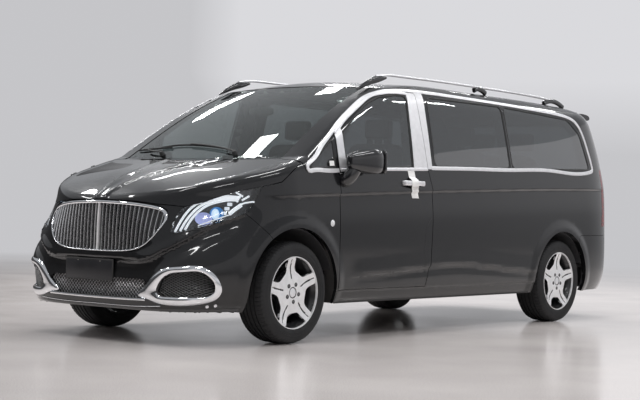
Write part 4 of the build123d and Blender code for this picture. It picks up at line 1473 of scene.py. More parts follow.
@dataclass
class WindowTrim:
    """The silver surround, the wide centre pillar and the rubber seals of one flank's windows."""

    surround: Route = (
        (440, 1157), (300, 1152), (150, 1147), (114, 1149), (106, 1166), (160, 1213), (280, 1303),
        (400, 1391), (531, 1484), (700, 1587), (865, 1674), (950, 1710), (1034, 1735), (1140, 1756),
        (1250, 1769), (1478, 1778), (2000, 1777), (2614, 1768), (3200, 1752), (3600, 1734), (3720, 1720),
        (3810, 1692), (3876, 1640), (3918, 1570), (3960, 1440), (3992, 1310), (3990, 1275), (3962, 1264),
        (3300, 1251), (2671, 1236), (2100, 1225), (1600, 1213), (1548, 1212),
    )
    door_top: Route = (
        (464, 1412), (531, 1466), (700, 1572), (865, 1661), (950, 1700), (1034, 1724), (1140, 1742),
        (1250, 1751), (1372, 1753),
    )
    door_belt: Route = ((460, 1161), (700, 1173), (1000, 1185), (1322, 1196), (1496, 1202))
    width: float = 30.0
    door_width: float = 24.0
    belt_width: float = 24.0
    body_pillar: Route = ((1503, 1203), (1556, 1204), (1577, 1768), (1483, 1768))
    door_pillar: Route = ((1328, 1204), (1498, 1204), (1478, 1762), (1376, 1762))
    mirror_pillar: Route = ((453, 1162), (530, 1166), (527, 1466), (453, 1404))

    def build(self, side: int) -> None:
        """Build one flank's trim and seals."""
        name = SIDES[side]
        door = f"front_door_{name}"
        cast = side_caster(side)
        ribbon = rounded_section(self.width, 8, 12, 3.4)
        door_ribbon = rounded_section(self.door_width, 8, 12, 3.4)
        belt = rounded_section(self.belt_width, 9, 12, 3.2)
        surround = strips([self.surround], ribbon, cast, 1.4, 20.0)
        join_into(surround, self.pillar(self.body_pillar, cast))
        fit(surround, f"window_surround_{name}", SILVER_TRIM, 50.0)
        on_door = together(
            strips([self.door_top], door_ribbon, cast, 2.4, 20.0),
            strips([self.door_belt], belt, cast, 1.0, 20.0),
            self.pillar(self.door_pillar, cast), self.pillar(self.mirror_pillar, cast),
        )
        fit(on_door, f"door_trim_{name}", SILVER_TRIM, 50.0, body=door)
        for window, body, radius in (
            (QUARTER_WINDOW, "chassis", 14), (MIDDLE_WINDOW, "chassis", 50),
            (REAR_SIDE_WINDOW, "chassis", 50), (DOOR_WINDOW, door, 34),
        ):
            outline = softened(window, radius)
            seal = band(inset(outline, -6), inset(outline, 7), SEAL_PROFILE, cast)
            fit(seal, f"seal_{int(window[0][0])}_{name}", SEAL_RUBBER, 60.0, body=body)

    @staticmethod
    def pillar(corners: Route, cast: Caster) -> Mesh:
        """Cover a four-cornered part of a pillar with a thin plate, its edges turned in."""
        low_front, low_rear, high_rear, high_front = np.array(corners, float)
        columns, rows = 10, 28

        def shape(across: Array, up: Array) -> Array:
            a, b = (
                np.clip((share * count - 1) / (count - 2), 0, 1)[:, None]
                for share, count in ((across, columns), (up, rows))
            )
            low, high = low_front * (1 - a) + low_rear * a, high_front * (1 - a) + high_rear * a
            route = low * (1 - b) + high * b
            inside = np.minimum(np.minimum(across, 1 - across), np.minimum(up, 1 - up)) > 0.001
            return placed(cast(route, np.where(inside, 3.2, -1.5)))

        return patch(columns, rows, shape)


def blob(
    centre: Sequence[float], half: Sequence[float], power: float, columns: int = 40, rows: int = 24
) -> Mesh:
    """Return a rounded box: a ball squared off by a power.

    Args:
        centre: Its middle, a drawing place.
        half: Half its size along each axis, in millimetres.
        power: 2 for a ball, more for a box with rounded edges.
        columns: Faces round.
        rows: Faces from top to bottom.

    Returns:
        The rounded box.
    """
    bm = bmesh.new()
    bmesh.ops.create_uvsphere(bm, u_segments=columns, v_segments=rows, radius=1.0)
    spots = np.array([vert.co for vert in bm.verts])
    length = (np.abs(spots) ** power).sum(axis=1) ** (1 / power)
    for vert, place in zip(bm.verts, placed(np.array(centre) + spots / length[:, None] * np.array(half))):
        vert.co = place
    return bm


@dataclass
class Mirror:
    """A gloss black door mirror with its foot and glass."""

    centre: Place = (1041.0, 604.0, 1226.0)
    half: Place = (83.0, 144.0, 87.0)

    def build(self, side: int) -> None:
        """Build the mirror on its door."""
        name = SIDES[side]
        body = f"front_door_{name}"
        shell = blob(self.centre, self.half, 4.2, 48, 32)
        for vert in shell.verts:
            x, d, z = drawn([vert.co])[0]
            forward = smooth(60, -130, d - self.centre[1])
            x -= 62 * forward * smooth(-60, 80, x - self.centre[0])
            z += (self.centre[2] - 16 - z) * 0.30 * forward
            vert.co = placed([x, d, z])
        foot = evenly([(905, 502, 1088), (955, 506, 1094), (985, 518, 1124), (998, 532, 1164)], 8.0)
        join_into(shell, sweep(placed(foot), upright(len(foot)), rounded_section(110, 96, 20, 2.4)))
        piece = fit(mirrored(shell, side), f"mirror_shell_{name}", GLOSS_BLACK, 60.0, body=body)
        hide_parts(f"mirror_{name}")
        x, d, z = self.centre
        rim = blob((x, d + 136, z), (81, 11, 82), 7.0)
        fit(mirrored(rim, side), f"mirror_rim_{name}", GLOSS_BLACK, 60.0, body=body)
        glass = blob((x, d + 144, z), (70, 5, 70), 7.0)
        fit(mirrored(glass, side), f"mirror_glass_{name}", MIRROR_GLASS, 60.0, body=body)


@dataclass
class DoorHandle:
    """A bright pull handle over a dark bowl; the driver's has a strip of white tape across it."""

    start: float = 1166.0
    end: float = 1416.0
    height: float = 1093.0
    grip_front: float = 991.0
    tape: Sequence[Place] = (
        (1283, 1186, 0.0), (1289, 1136, 0.0), (1276, 1114, 0.9), (1272, 1093, 1.0), (1276, 1072, 0.9),
        (1306, 1052, 0.05), (1318, 1010, 0.0), (1326, 986, 0.0),
    )
    tape_width: float = 82.0

    def build(self, side: int) -> None:
        """Build the handle and its bowl."""
        name = SIDES[side]
        body = f"front_door_{name}"
        turn = np.linspace(0, tau, 40, endpoint=False)
        outline = np.column_stack([1288 + 92 * np.cos(turn), self.height - 6 + 34 * np.sin(turn)])
        bowl = [(0, 0.4), (0.15, 1.0), (0.5, 1.2), (0.97, 1.2)]
        cup = band(outline, np.tile([1288.0, self.height - 6], (40, 1)), bowl, side_caster(side))
        fit(cup, f"handle_bowl_{name}", GLOSS_BLACK, 60.0, body=body)
        surface = FORM.on_side([(self.start, self.height), (self.end, self.height)], side)[:, 0] * side
        path = [
            (surface[0] - 3, self.start + 8, self.height), (976, self.start + 16, self.height),
            (981, self.start + 60, self.height), (982, 1290, self.height + 1),
            (981, self.end - 60, self.height), (976, self.end - 16, self.height),
            (surface[1] - 3, self.end - 8, self.height),
        ]
        line = evenly(path, 8.0)
        grip = sweep(placed(line), np.tile([1.0, 0.0, 0.0], (len(line), 1)), rounded_section(36, 15, 14, 3.0))
        piece = fit(mirrored(grip, side), f"handle_grip_{name}", SILVER_TRIM, 50.0, body=body)
        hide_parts(f"door_handle_{name}")
        if side == LEFT:
            self.stick(body)

    def stick(self, body: str) -> None:
        """Pull the white tape straight down the door and over the grip."""
        route = evenly(self.tape, 6.0, curved=False)[::-1]
        rows = len(route) - 1

        def shape(across: Array, up: Array) -> Array:
            d, z, lift = route[np.round(up * rows).astype(int)].T
            flat = FORM.on_side(np.column_stack([d + (across - 0.5) * self.tape_width, z]), LEFT, 1.6)
            flat[:, 0] += (self.grip_front - flat[:, 0]) * lift
            return placed(flat)

        strip = patch(2, rows, shape)
        bmesh.ops.recalc_face_normals(strip, faces=strip.faces)
        bmesh.ops.solidify(strip, geom=strip.faces[:], thickness=0.8 * MM)
        bmesh.ops.recalc_face_normals(strip, faces=strip.faces)
        fit(strip, "handle_tape", WHITE_TAPE, 60.0, body=body)


@dataclass
class RoofRail:
    """A bright rail on three black feet, the front one long and streamlined."""

    x: float = 672.0
    route: Route = (
        (1180, 1868), (1290, 1885), (1500, 1892), (1900, 1895), (2300, 1894), (2900, 1890), (3500, 1878),
        (3700, 1862), (3860, 1828),
    )
    front_foot: Sequence[tuple[float, float, float, float]] = (
        (961, 1768, 0.25, 0.2), (1040, 1806, 0.7, 0.6), (1120, 1838, 0.9, 0.85), (1200, 1862, 1.0, 1.0),
        (1298, 1882, 0.95, 0.55),
    )

    rear_feet: Sequence[Place] = ((2481, 2646, 1886), (3560, 3877, 1856))

    def bar(self, route: Array, width: float, height: float, scale: Array | None = None) -> Mesh:
        """Sweep one bar of the left rail along rows of distance and height."""
        places = np.column_stack([np.full(len(route), self.x), route])
        section = rounded_section(width, height, 14, 2.8)
        return sweep(placed(places), upright(len(route)), section, scale=scale)

    def build(self) -> None:
        """Build both rails."""
        bright, black = bmesh.new(), bmesh.new()
        for side in SIDES:
            join_into(bright, mirrored(self.bar(evenly(self.route, 40.0), 24, 18), side))
            foot = evenly(self.front_foot, 14.0)
            join_into(black, mirrored(self.bar(foot[:, :2] - (0, 12), 34, 52, foot[:, 2:]), side))
            for start, end, top in self.rear_feet:
                step = [(start, top - 22), (start + 40, top - 8), (end - 60, top - 12), (end, top - 34)]
                join_into(black, mirrored(self.bar(evenly(step, 12.0), 30, 40), side))
        piece = fit(bright, "roof_rail_bars", SILVER_TRIM, 50.0)
        fit(black, "roof_rail_feet", GLOSS_BLACK, 50.0)
        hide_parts("roof_rails")


@dataclass
class Wipers:
    """Two wiper arms lying on the foot of the windscreen, with their spindles."""

    arms: Sequence[tuple[Route, Route]] = (
        (((360, 26), (200, 52), (20, 76), (-120, 92)), ((250, 62), (-20, 88), (-300, 108), (-420, 104))),
        (((-330, 20), (-450, 48), (-540, 84)), ((-300, 86), (-480, 104), (-640, 128), (-690, 140))),
    )

    def build(self) -> None:
        """Build the arms and blades."""
        bm = bmesh.new()
        for arm, blade in self.arms:
            join_into(bm, strips([arm], rounded_section(15, 10, 10), FORM.on_top, 17.0, 20.0))
            join_into(bm, strips([blade], rounded_section(9, 14, 8), FORM.on_top, 7.0, 20.0))
            spot = FORM.on_top([arm[0]])[0]
            join_into(bm, stud(spot, [(0.01, 28), (12, 26), (17, 14), (19, -4)], 24))
        fit(bm, "wipers", DARK_PLASTIC, 40.0)


@dataclass
class FlankDetails:
    """The fuel flap's line, the quarter glass sticker and the cover strip between the rear side panes."""

    flap: Route = (
        (1524, 842), (1480, 800), (1454, 740), (1446, 660), (1450, 560), (1462, 470), (1484, 400),
        (1500, 352),
    )

    sticker: Route = ((352, 1186), (402, 1188), (402, 1222), (352, 1220))
    divider: Route = ((2671.0, 1246.0), (2671.0, 1745.0))

    def build(self, side: int) -> None:
        """Build one flank's small details."""
        name = SIDES[side]
        cast = side_caster(side)
        if side == LEFT:
            line = strips([self.flap], rounded_section(3.5, 1.2, 6), cast, 0.2, 16.0)
            fit(line, "fuel_flap_line", SEAL_RUBBER, body=f"front_door_{name}")
            label = WindowTrim.pillar(
                self.sticker, lambda route, level: FORM.on_side(route, side, np.asarray(level) * 0.1 - 2.6)
            )
            fit(label, "blank_sticker", WHITE_TAPE)
        divider = strips([self.divider], rounded_section(34, 5, 8, 4.0), cast, -2.0)
        fit(divider, f"pane_divider_{name}", GLOSS_BLACK, 50.0)


def flanks() -> None:
    """Build the glass, trim, mirrors, handles and rails."""
    side = Cuts((), SIDE_ALONG, run(1150, 1760, 45))
    for name in SIDES.values():
        for node, body, finish in (
            ("side_glass", "chassis", REAR_TINT), ("door_glass", f"front_door_{name}", SIDE_GLASS)
        ):
            pane = Panel(f"{node}_{name}", body, (finish,), side, Level.GLASS_OUTSIDE, Level.GLASS_INSIDE)
            pane.build()
    screen = Cuts(run(-730, 731, 40), run(-60, 1120, 40))
    pane = Panel("windscreen", "chassis", (SCREEN_GLASS,), screen, Level.GLASS_OUTSIDE, Level.GLASS_INSIDE)
    pane.tolerance = 2.4
    pane.build()
    for side in SIDES:
        WindowTrim().build(side)
        Mirror().build(side)
        DoorHandle().build(side)
        FlankDetails().build(side)
    RoofRail().build()
    Wipers().build()


# ---------------------------------------------------------------- wheels


@dataclass
class Wheel:
    """A five-pointed alloy wheel with its brake, and its tyre."""

    place: str
    side: int
    rim_radius: float = 241.0
    tyre_width: float = 243.0
    face: float = 97.0
    spoke_half: float = 38.0
    pocket_start: float = 136.0
    spokes: int = 5
    first_spoke: float = 90.0
    hub_radius: float = 34.0
    rolled_from: float = 0.86
    bolt_circle: float = 60.0
    dot_circle: float = 74.0
    crown_radius: float = 337.6
    shoulder_radius: float = 314.0
    grooves: Route = ((-52, 6.0), (-18, 7.0), (18, 7.0), (52, 6.0))
    tread_blocks: int = 72

    def __post_init__(self) -> None:
        """Find the wheel's middle and its body."""
        self.name = f"{self.place}_{SIDES[self.side]}"
        self.body = f"wheel_{self.name}"
        self.centre = centre_of(f"tyre_{self.name}")
        self.axis = Vector((self.side, 0, 0))

    def spot(self, out: Array, along: Array, up: Array) -> Array:
        """Return places in metres from distances outward, rearward and upward of the wheel's middle."""
        rows = np.column_stack(np.broadcast_arrays(np.asarray(out, float) * self.side, along, up)) * MM
        return rows + np.array(self.centre)

    def build(self) -> None:
        """Build the wheel."""
        self.tyre()
        self.barrel()
        self.star()
        self.hub()
        self.brake()

    def round_part(self, profile: Route, name: str, finish: Finish, sharp: float, steps: int) -> None:
        """Build one round part of the wheel, turned about its axle."""
        bm = turned(profile, self.centre, self.axis, steps)
        fit(bm, f"{name}_{self.name}", finish, sharp, body=self.body)

    def off_spoke(self, angle: Array) -> Array:
        """Return the angle from the nearest spoke's middle."""
        half = pi / self.spokes
        return (angle + half) % (2 * half) - half

    def spoke_reach(self, turn: Array) -> Array:
        """Return the radius at which the star's face ends, for angles from a spoke's middle."""
        off = np.abs(turn)
        pocket = self.pocket_start + 70 * (1 - np.cos(off - pi / self.spokes))
        edge = self.spoke_half / np.maximum(np.sin(off), 1e-3)
        return np.minimum((pocket**6 + edge**6) ** (1 / 6), self.rim_radius - 7)

    def star(self) -> None:
        """Build the star's bright face, its dark walls and the groove down each spoke."""
        columns, rows = 360, 16

        def face(turn: Array, share: Array) -> Array:
            angle = turn * tau
            off = self.off_spoke(angle)
            reach = self.spoke_reach(off)
            radius = self.hub_radius + (reach - self.hub_radius) * np.minimum(share / self.rolled_from, 1)
            along_spoke = radius * np.cos(off)
            beside = radius * np.sin(off)
            out = self.face - 8 * smooth(60, 150, radius) + 20 * smooth(160, 234, radius)
            groove = np.exp(-((beside / 6.0) ** 2)) * smooth(84, 96, along_spoke)
            groove = groove * (1 - smooth(208, 220, along_spoke))
            out = out - 5.0 * groove
            rolled = np.clip((share - self.rolled_from) / 0.14, 0, 1)
            out = out - 3 * smooth(0, 0.3, rolled) - 40 * smooth(0.25, 1, rolled)
            radius = radius + 2.5 * smooth(0, 0.4, rolled) * (reach < self.rim_radius - 9)
            bearing = angle + radians(self.first_spoke)
            return self.spot(out, radius * np.cos(bearing), radius * np.sin(bearing))

        bm = patch(columns, rows, face)
        bmesh.ops.remove_doubles(bm, verts=bm.verts, dist=DOUBLE_M)
        for item in bm.faces:
            middle = item.calc_center_median()
            out, along, up = (np.array(middle) - np.array(self.centre)) / MM * (self.side, 1, 1)
            radius = np.hypot(along, up)
            angle = np.arctan2(up, along) - radians(self.first_spoke)
            off = self.off_spoke(angle)
            in_groove = abs(radius * sin(off)) < 5.2 and 88 < radius * cos(off) < 216
            below = out < self.face - 14 + 14 * (radius > 200)
            item.material_index = 1 if in_groove or below else 0
        piece = finish_mesh(bm, f"star_{self.name}", self.body, (ALLOY_FACE, ALLOY_POCKET), 30.0)
        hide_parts(f"rim_{self.name}")

    def barrel(self) -> None:
        """Build the rim's barrel with its bright outer lip."""
        half = self.tyre_width / 2 - 8
        lip = [
            (232, half - 14), (232.5, half - 3), (235, half + 1), (239, half), (240.5, half - 5),
            (240.5, half - 16),
        ]
        self.round_part(lip, "rim_lip", ALLOY_FACE, 40.0, 120)
        inner = [
            (240, half - 14), (232, half - 14), (224, half - 30), (206, half - 52), (202, -half + 40),
            (222, -half + 16), (228, -half + 2), (240, -half), (240, -half + 12), (212, -half + 44),
            (212, half - 48), (240, half - 20),
        ]
        self.round_part(inner + inner[:1], "rim_barrel", ALLOY_POCKET, 40.0, 96)

    def hub(self) -> None:
        """Build the blank cap, the lug bolts in their dark wells and the dots at the grooves' feet."""
        cap = [(0.01, 8), (16, 7.6), (26, 6), (30, 3), (30.5, 0)]
        cap = [(radius, self.face + out - 4) for radius, out in cap]
        self.round_part(cap, "hub_cap", SILVER_TRIM, 40.0, 48)
        ring = [(30.5, 0), (31, 3), (34, 4.5), (39, 2.5), (40, -3), (36, -12)]
        ring = [(radius, self.face + out - 3) for radius, out in ring]
        dark = turned(ring, self.centre, self.axis, 48)
        bolts = bmesh.new()
        for i in range(self.spokes):
            bearing = radians(self.first_spoke) + (i + 0.5) * tau / self.spokes
            reach = self.bolt_circle
            spot = Vector(self.spot(self.face, reach * cos(bearing), reach * sin(bearing))[0])
            well = [(0.01, 0.9), (11.0, 0.9), (13.5, 1.6), (14.5, 0.8), (14.7, -2)]
            join_into(dark, turned(well, spot, self.axis, 20))
            join_into(bolts, turned([(0.01, 1.4), (4.5, 1.4), (6.0, 0.9)], spot, self.axis, 6))
            bearing -= pi / self.spokes
            reach = self.dot_circle
            spot = Vector(self.spot(self.face - 3, reach * cos(bearing), reach * sin(bearing))[0])
            join_into(dark, turned([(0.01, 1.2), (3.0, 1.2), (3.4, -2)], spot, self.axis, 12))
        fit(dark, f"hub_wells_{self.name}", GLOSS_BLACK, 40.0, body=self.body)
        fit(bolts, f"lug_bolts_{self.name}", CAST_METAL, 40.0, body=self.body)

    def brake(self) -> None:
        """Build the brake disc and its bell."""
        disc = [
            (62, 26), (78, 28), (80, 34), (84, 34), (86, 22), (168, 22), (170, 20), (170, -4), (168, -6),
            (86, -6),
        ]
        self.round_part(disc, "brake_disc", BRAKE_IRON, 30.0, 96)

    def tread(self, turn: Array, across: Array) -> Array:
        """Return how deep the tread is cut at an angle and a distance across the tyre."""
        depth = np.zeros(np.broadcast(turn, across).shape)
        for groove, width in self.grooves:
            depth = np.maximum(depth, 7.5 * (np.abs(across - groove) < width))
        step = (turn * self.tread_blocks + across * 0.006) % 1.0
        shoulder = (np.abs(across) > 62) & (np.abs(across) < 112)
        depth = np.maximum(depth, 5.5 * (shoulder & (step < 0.17)))
        middle = (np.abs(across) > 26) & (np.abs(across) < 44)
        return np.maximum(depth, 4.0 * (middle & ((step + 0.4) % 1.0 < 0.13)))

    def tyre(self) -> None:
        """Build the tyre: rounded sidewalls, four grooves and cut shoulders."""
        half = self.tyre_width / 2
        knots = [
            (238, -half + 10), (250, -half + 3), (272, -half + 0.5), (298, -half + 3), (316, -half + 9),
            (328, -half + 19), (334, -half + 32),
        ]
        crown = (-82, -70, -63, -58.1, -57.9, -46.1, -45.9, -44, -35, -26, -25.1, -24.9, -11.1, -10.9, 0)
        left = np.array(knots + [(self.crown_radius, across) for across in crown], float)
        section = np.vstack([left, left[-2::-1] * (1, -1)])
        section[:, 0] -= 3.2 * (section[:, 1] / 96) ** 4 * (np.abs(section[:, 1]) < 90)
        columns, rows = 360, len(section) - 1

        def shape(turn: Array, share: Array) -> Array:
            radius, across = section[np.round(share * rows).astype(int)].T
            radius = radius - self.tread(turn, across) * (radius > self.shoulder_radius)
            bearing = turn * tau
            return self.spot(across, radius * np.cos(bearing), radius * np.sin(bearing))

        bm = closed_up(patch(columns, rows, shape))
        piece = fit(bm, f"tyre_tread_{self.name}", TYRE_RUBBER, 30.0, body=self.body)
        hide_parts(f"tyre_{self.name}")
        rings = bmesh.new()
        for side in (1, -1):
            for radius, reach in ((284, half - 0.4), (262, half - 0.6)):
                ring = [
                    (radius - 2, side * (reach - 3)), (radius, side * (reach + 0.3)),
                    (radius + 2, side * (reach - 3)),
                ]
                join_into(rings, turned(ring, self.centre, self.axis, 120))
        fit(rings, f"tyre_rings_{self.name}", TYRE_RUBBER, 50.0, body=self.body)


def wheels() -> None:
    """Build the four wheels."""
    for place, turn in (("front", 97.0), ("rear", 88.0)):
        for side in SIDES:
            Wheel(place, side, first_spoke=turn if side == LEFT else 180 - turn).build()


# ---------------------------------------------------------------- the cabin


@dataclass
class Seat:
    """One seat: crowned cushion, backrest and headrest over a plastic base."""

    name: str
    x: float
    front: float
    width: float
    places: int = 1
    channels: int = 5
    cushion_heights: Pair = (700.0, 862.0)
    back_heights: Pair = (712.0, 1405.0)
    back_lean: float = 125.0
    headrest_heights: Pair = (1420.0, 1592.0)
    floor: float = 471.0

    def pad(self, kind: str, low: Sequence[float], high: Sequence[float], lean: float, quilted: int) -> Mesh:
        """Make one crowned pad with sewn channels and a piped seam.

        Args:
            kind: Which pad it is.
            low: Its low corner, a drawing place, before it leans.
            high: Its high corner.
            lean: How far its top goes back, in millimetres.
            quilted: How many sewn channels run across it.

        Returns:
            The pad.
        """
        low, high = np.array(low, float), np.array(high, float)
        middle, half = (low + high) / 2, (high - low) / 2
        bm = bmesh.new()
        bmesh.ops.create_cube(bm, size=2.0)
        bmesh.ops.subdivide_edges(bm, edges=bm.edges, cuts=26, use_grid_fill=True)
        spots = np.array([vert.co for vert in bm.verts])
        power = 7.0
        spots = spots / (np.abs(spots) ** power).sum(axis=1, keepdims=True) ** (1 / power)
        share = self.places * (spots[:, 0] + 1) / 2
        seam = np.abs(share - np.round(share)) * (np.abs(spots[:, 0]) < 0.92)
        length = 2 if kind == "back" else 1
        crown = np.cos(spots[:, 0] * pi / 2 * 0.8) * np.cos(spots[:, length] * pi / 2 * 0.8)
        face = 1 if kind != "cushion" else 2
        sign = -1.0 if kind != "cushion" else 1.0
        outward = np.clip(spots[:, face] * sign, 0, 1) ** 2
        across = spots[:, 2 if face == 1 else 1]
        inside = (np.abs(spots[:, 0]) < 0.78) & (np.abs(across) < 0.86)
        wave = np.abs(np.sin(across * pi * quilted / 2)) if quilted else np.ones(len(spots))
        puff = 9.0 * crown + 5.0 * np.where(inside, wave**0.5, 0.4)
        puff = puff - 6.0 * np.exp(-((seam / 0.02) ** 2)) * (self.places > 1)
        border = np.exp(-(((np.abs(spots[:, 0]) - 0.78) / 0.02) ** 2))
        border = border + np.exp(-(((np.abs(across) - 0.86) / 0.02) ** 2))
        rows = spots * (half - 10)
        rows[:, face] += sign * outward * (puff - 4.5 * np.clip(border, 0, 1))
        rows += middle
        rise = (rows[:, 2] - low[2]) / (high[2] - low[2])
        rows[:, 1] += lean * rise
        for vert, place in zip(bm.verts, placed(rows)):
            vert.co = place
        return bm

    def build(self) -> None:
        """Build the seat; its CAD node is hidden by the caller."""
        x, y, half = self.x, self.front, self.width / 2
        (seat, top), (foot, head) = self.cushion_heights, self.back_heights
        chin, crown = self.headrest_heights
        pads = [
            ("cushion", (x - half, y, seat), (x + half, y + 500, top), 0.0, self.channels),
            ("back", (x - half, y + 440, foot), (x + half, y + 545, head), self.back_lean, self.channels + 2),
        ]
        for kind, low, high, lean, quilted in pads:
            piece = fit(self.pad(kind, low, high, lean, quilted), f"{self.name}_{kind}", SEAT_LEATHER, 60.0)
        for i in range(self.places):
            middle = x - half + self.width * (i + 0.5) / self.places
            rest = self.pad("head", (middle - 125, y + 603, chin), (middle + 125, y + 692, crown), 0.0, 0)
            piece = fit(rest, f"{self.name}_headrest_{i}", SEAT_LEATHER, 60.0)
            posts = bmesh.new()
            for post in (middle - 45, middle + 45):
                join_into(posts, tube([(post, y + 640, 1360), (post, y + 646, 1440)], 6.5, 12, 10))
            fit(posts, f"{self.name}_headrest_posts_{i}", BRIGHT_TRIM)
        base = box_mesh((x - half + 64, y + 64, self.floor + 1), (x + half - 64, y + 436, 706), 24, 4)
        join_into(base, box_mesh((x - half + 20, y + 90, 640), (x + half - 20, y + 470, 712), 18, 4))
        fit(base, f"{self.name}_base", DOOR_TRIM, 40.0)
        rails = bmesh.new()
        for offset in (-half + 60, half - 60):
            rail = x + offset
            join_into(rails, box_mesh((rail - 16, y + 20, self.floor), (rail + 16, y + 520, 500), 4))
        fit(rails, f"{self.name}_rails", CAST_METAL)


@dataclass
class SteeringWheel:
    """A leather rim on three spokes round a padded hub, with stalks behind it."""

    x: float = 400.0
    distance: float = 690.0
    height: float = 1110.0
    tilt: float = 32.0
    radius: float = 180.0

    def spot(self, across: float, up: float, out: float) -> Array:
        """Return the drawing place of a spot in the wheel's plane, out towards the driver."""
        lean = radians(self.tilt)
        back = self.distance - up * sin(lean) + out * cos(lean)
        return np.array([self.x + across, back, self.height + up * cos(lean) + out * sin(lean)])

    def build(self) -> None:
        """Build the rim, spokes and hub."""
        turn = np.linspace(0, tau, 72, endpoint=False)
        line = placed([self.spot(self.radius * cos(a), self.radius * sin(a), 0) for a in turn])
        axis = placed(self.spot(0, 0, 1)) - placed(self.spot(0, 0, 0))
        rim = sweep(line, np.tile(axis, (72, 1)), rounded_section(27, 25, 14, 2.3), closed=True)
        piece = fit(rim, "steering_rim", SEAT_LEATHER, 60.0, body="steering_wheel")
        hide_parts("steering_wheel")
        spokes = bmesh.new()
        for angle in (-90, 8, 172):
            ends = [self.spot(r * cos(radians(angle)), r * sin(radians(angle)), 0) for r in (50, 110, 172)]
            path = placed(evenly(ends, 12.0))
            join_into(spokes, sweep(path, np.tile(axis, (len(path), 1)), rounded_section(38, 14, 12, 3.0)))
        fit(spokes, "steering_spokes", SILVER_TRIM, 50.0, body="steering_wheel")
        hub = [(0.01, 17), (30, 16.5), (52, 13), (62, 6), (64, -4), (60, -17), (30, -18), (0.01, -18)]
        middle = Vector(placed(self.spot(0, 0, 0)))
        bm = turned(hub, middle, Vector(axis).normalized(), 48)
        fit(bm, "steering_hub", DOOR_TRIM, 50, body="steering_wheel")
        stalks = bmesh.new()
        for across in (-150, 150):
            join_into(stalks, tube([self.spot(across * 0.25, 0, -38), self.spot(across, 12, -36)], 7, 12, 15))
        fit(stalks, "steering_stalks", DARK_PLASTIC)


@dataclass
class Dashboard:
    """Binnacle, screens and vents on the dashboard."""

    binnacle: tuple[Place, Place] = ((400, 330, 1178), (170, 120, 52))
    stack: tuple[Place, Place] = ((0, 395, 1000), (150, 62, 170))
    console: tuple[Place, Place] = ((0, 420, 700), (110, 120, 200))
    middle_screen: tuple[Place, Place] = ((-125, 425, 1120), (125, 440, 1262))
    driver_screen: tuple[Place, Place] = ((275, 436, 1150), (525, 448, 1206))
    vents: Sequence[float] = (-640, -90, 90, 640)
    vent_distance: float = 432.0
    vent_height: float = 1060.0
    slat_step: float = 12.0

    def build(self) -> None:
        """Build the details that stand on the CAD dashboard."""
        bm = together(
            blob(*self.binnacle, 3.4, 48, 24), blob(*self.stack, 5.0, 48, 24),
            blob(*self.console, 5.0, 48, 24),
        )
        fit(bm, "dash_binnacle", DOOR_TRIM, 50.0)
        screens = together(box_mesh(*self.middle_screen, 6), box_mesh(*self.driver_screen, 5))
        fit(screens, "dash_screens", GLOSS_BLACK, 40.0)
        vents = bmesh.new()
        for x in self.vents:
            middle = Vector(placed([x, self.vent_distance, self.vent_height]))
            ring = [(34, -4), (36, 8), (42, 10), (45, 6), (45, -4)]
            join_into(vents, turned(ring, middle, Vector((0, 1, 0)), 36))
            for i in range(-2, 3):
                low = self.vent_height - 2 + self.slat_step * i
                join_into(vents, box_mesh((x - 32, 430, low), (x + 32, 440, low + 3), 1.0))
        fit(vents, "dash_vents", SILVER_TRIM, 40.0)


@dataclass
class CabinDetails:
    """The inside mirror, and the armrests and pulls on the doors."""

    mirror: Place = (0, 700, 1592)
    mirror_stalk: Sequence[Place] = ((0, 700, 1600), (0, 672, 1630))
    armrest: tuple[Place, Place] = ((818, 1010, 905), (30, 330, 40))
    pocket: tuple[Place, Place] = ((822, 990, 640), (24, 380, 70))
    pull: Sequence[Place] = ((806, 1010, 985), (790, 1040, 990), (790, 1160, 990), (806, 1190, 985))

    def build(self) -> None:
        """Build the mirror and both doors' details."""
        mirror = blob(self.mirror, (118, 14, 34), 3.0, 40, 16)
        join_into(mirror, tube(self.mirror_stalk, 9, 12, 10))
        fit(mirror, "inside_mirror", DARK_PLASTIC, 50.0)
        for side, name in SIDES.items():
            door = f"front_door_{name}"
            card = together(
                mirrored(blob(*self.armrest, 4.0, 48, 16), side),
                mirrored(blob(*self.pocket, 5.0, 48, 16), side),
            )
            fit(card, f"door_armrest_{name}", DOOR_TRIM, 50.0, body=door)
            pull = mirrored(tube(self.pull, 9, 12, 10), side)
            fit(pull, f"door_pull_{name}", SILVER_TRIM, body=door)


def cabin() -> None:
    """Build the seats, steering wheel, dashboard details, inside mirror and door details."""
    for node, seats in (
        ("front_seats", [Seat("driver_seat", 400, 950, 520), Seat("passenger_seat", -400, 950, 520)]),
        (
            "middle_seats",
            [Seat("middle_seat_left", 420, 2050, 520), Seat("middle_seat_right", -420, 2050, 520)],
        ),
        ("rear_seats", [Seat("rear_bench", 0, 3020, 1180, 3)]),
    ):
        for seat in seats:
            seat.build()
        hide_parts(node)
    SteeringWheel().build()
    Dashboard().build()
    CabinDetails().build()


# ---------------------------------------------------------------- the tail


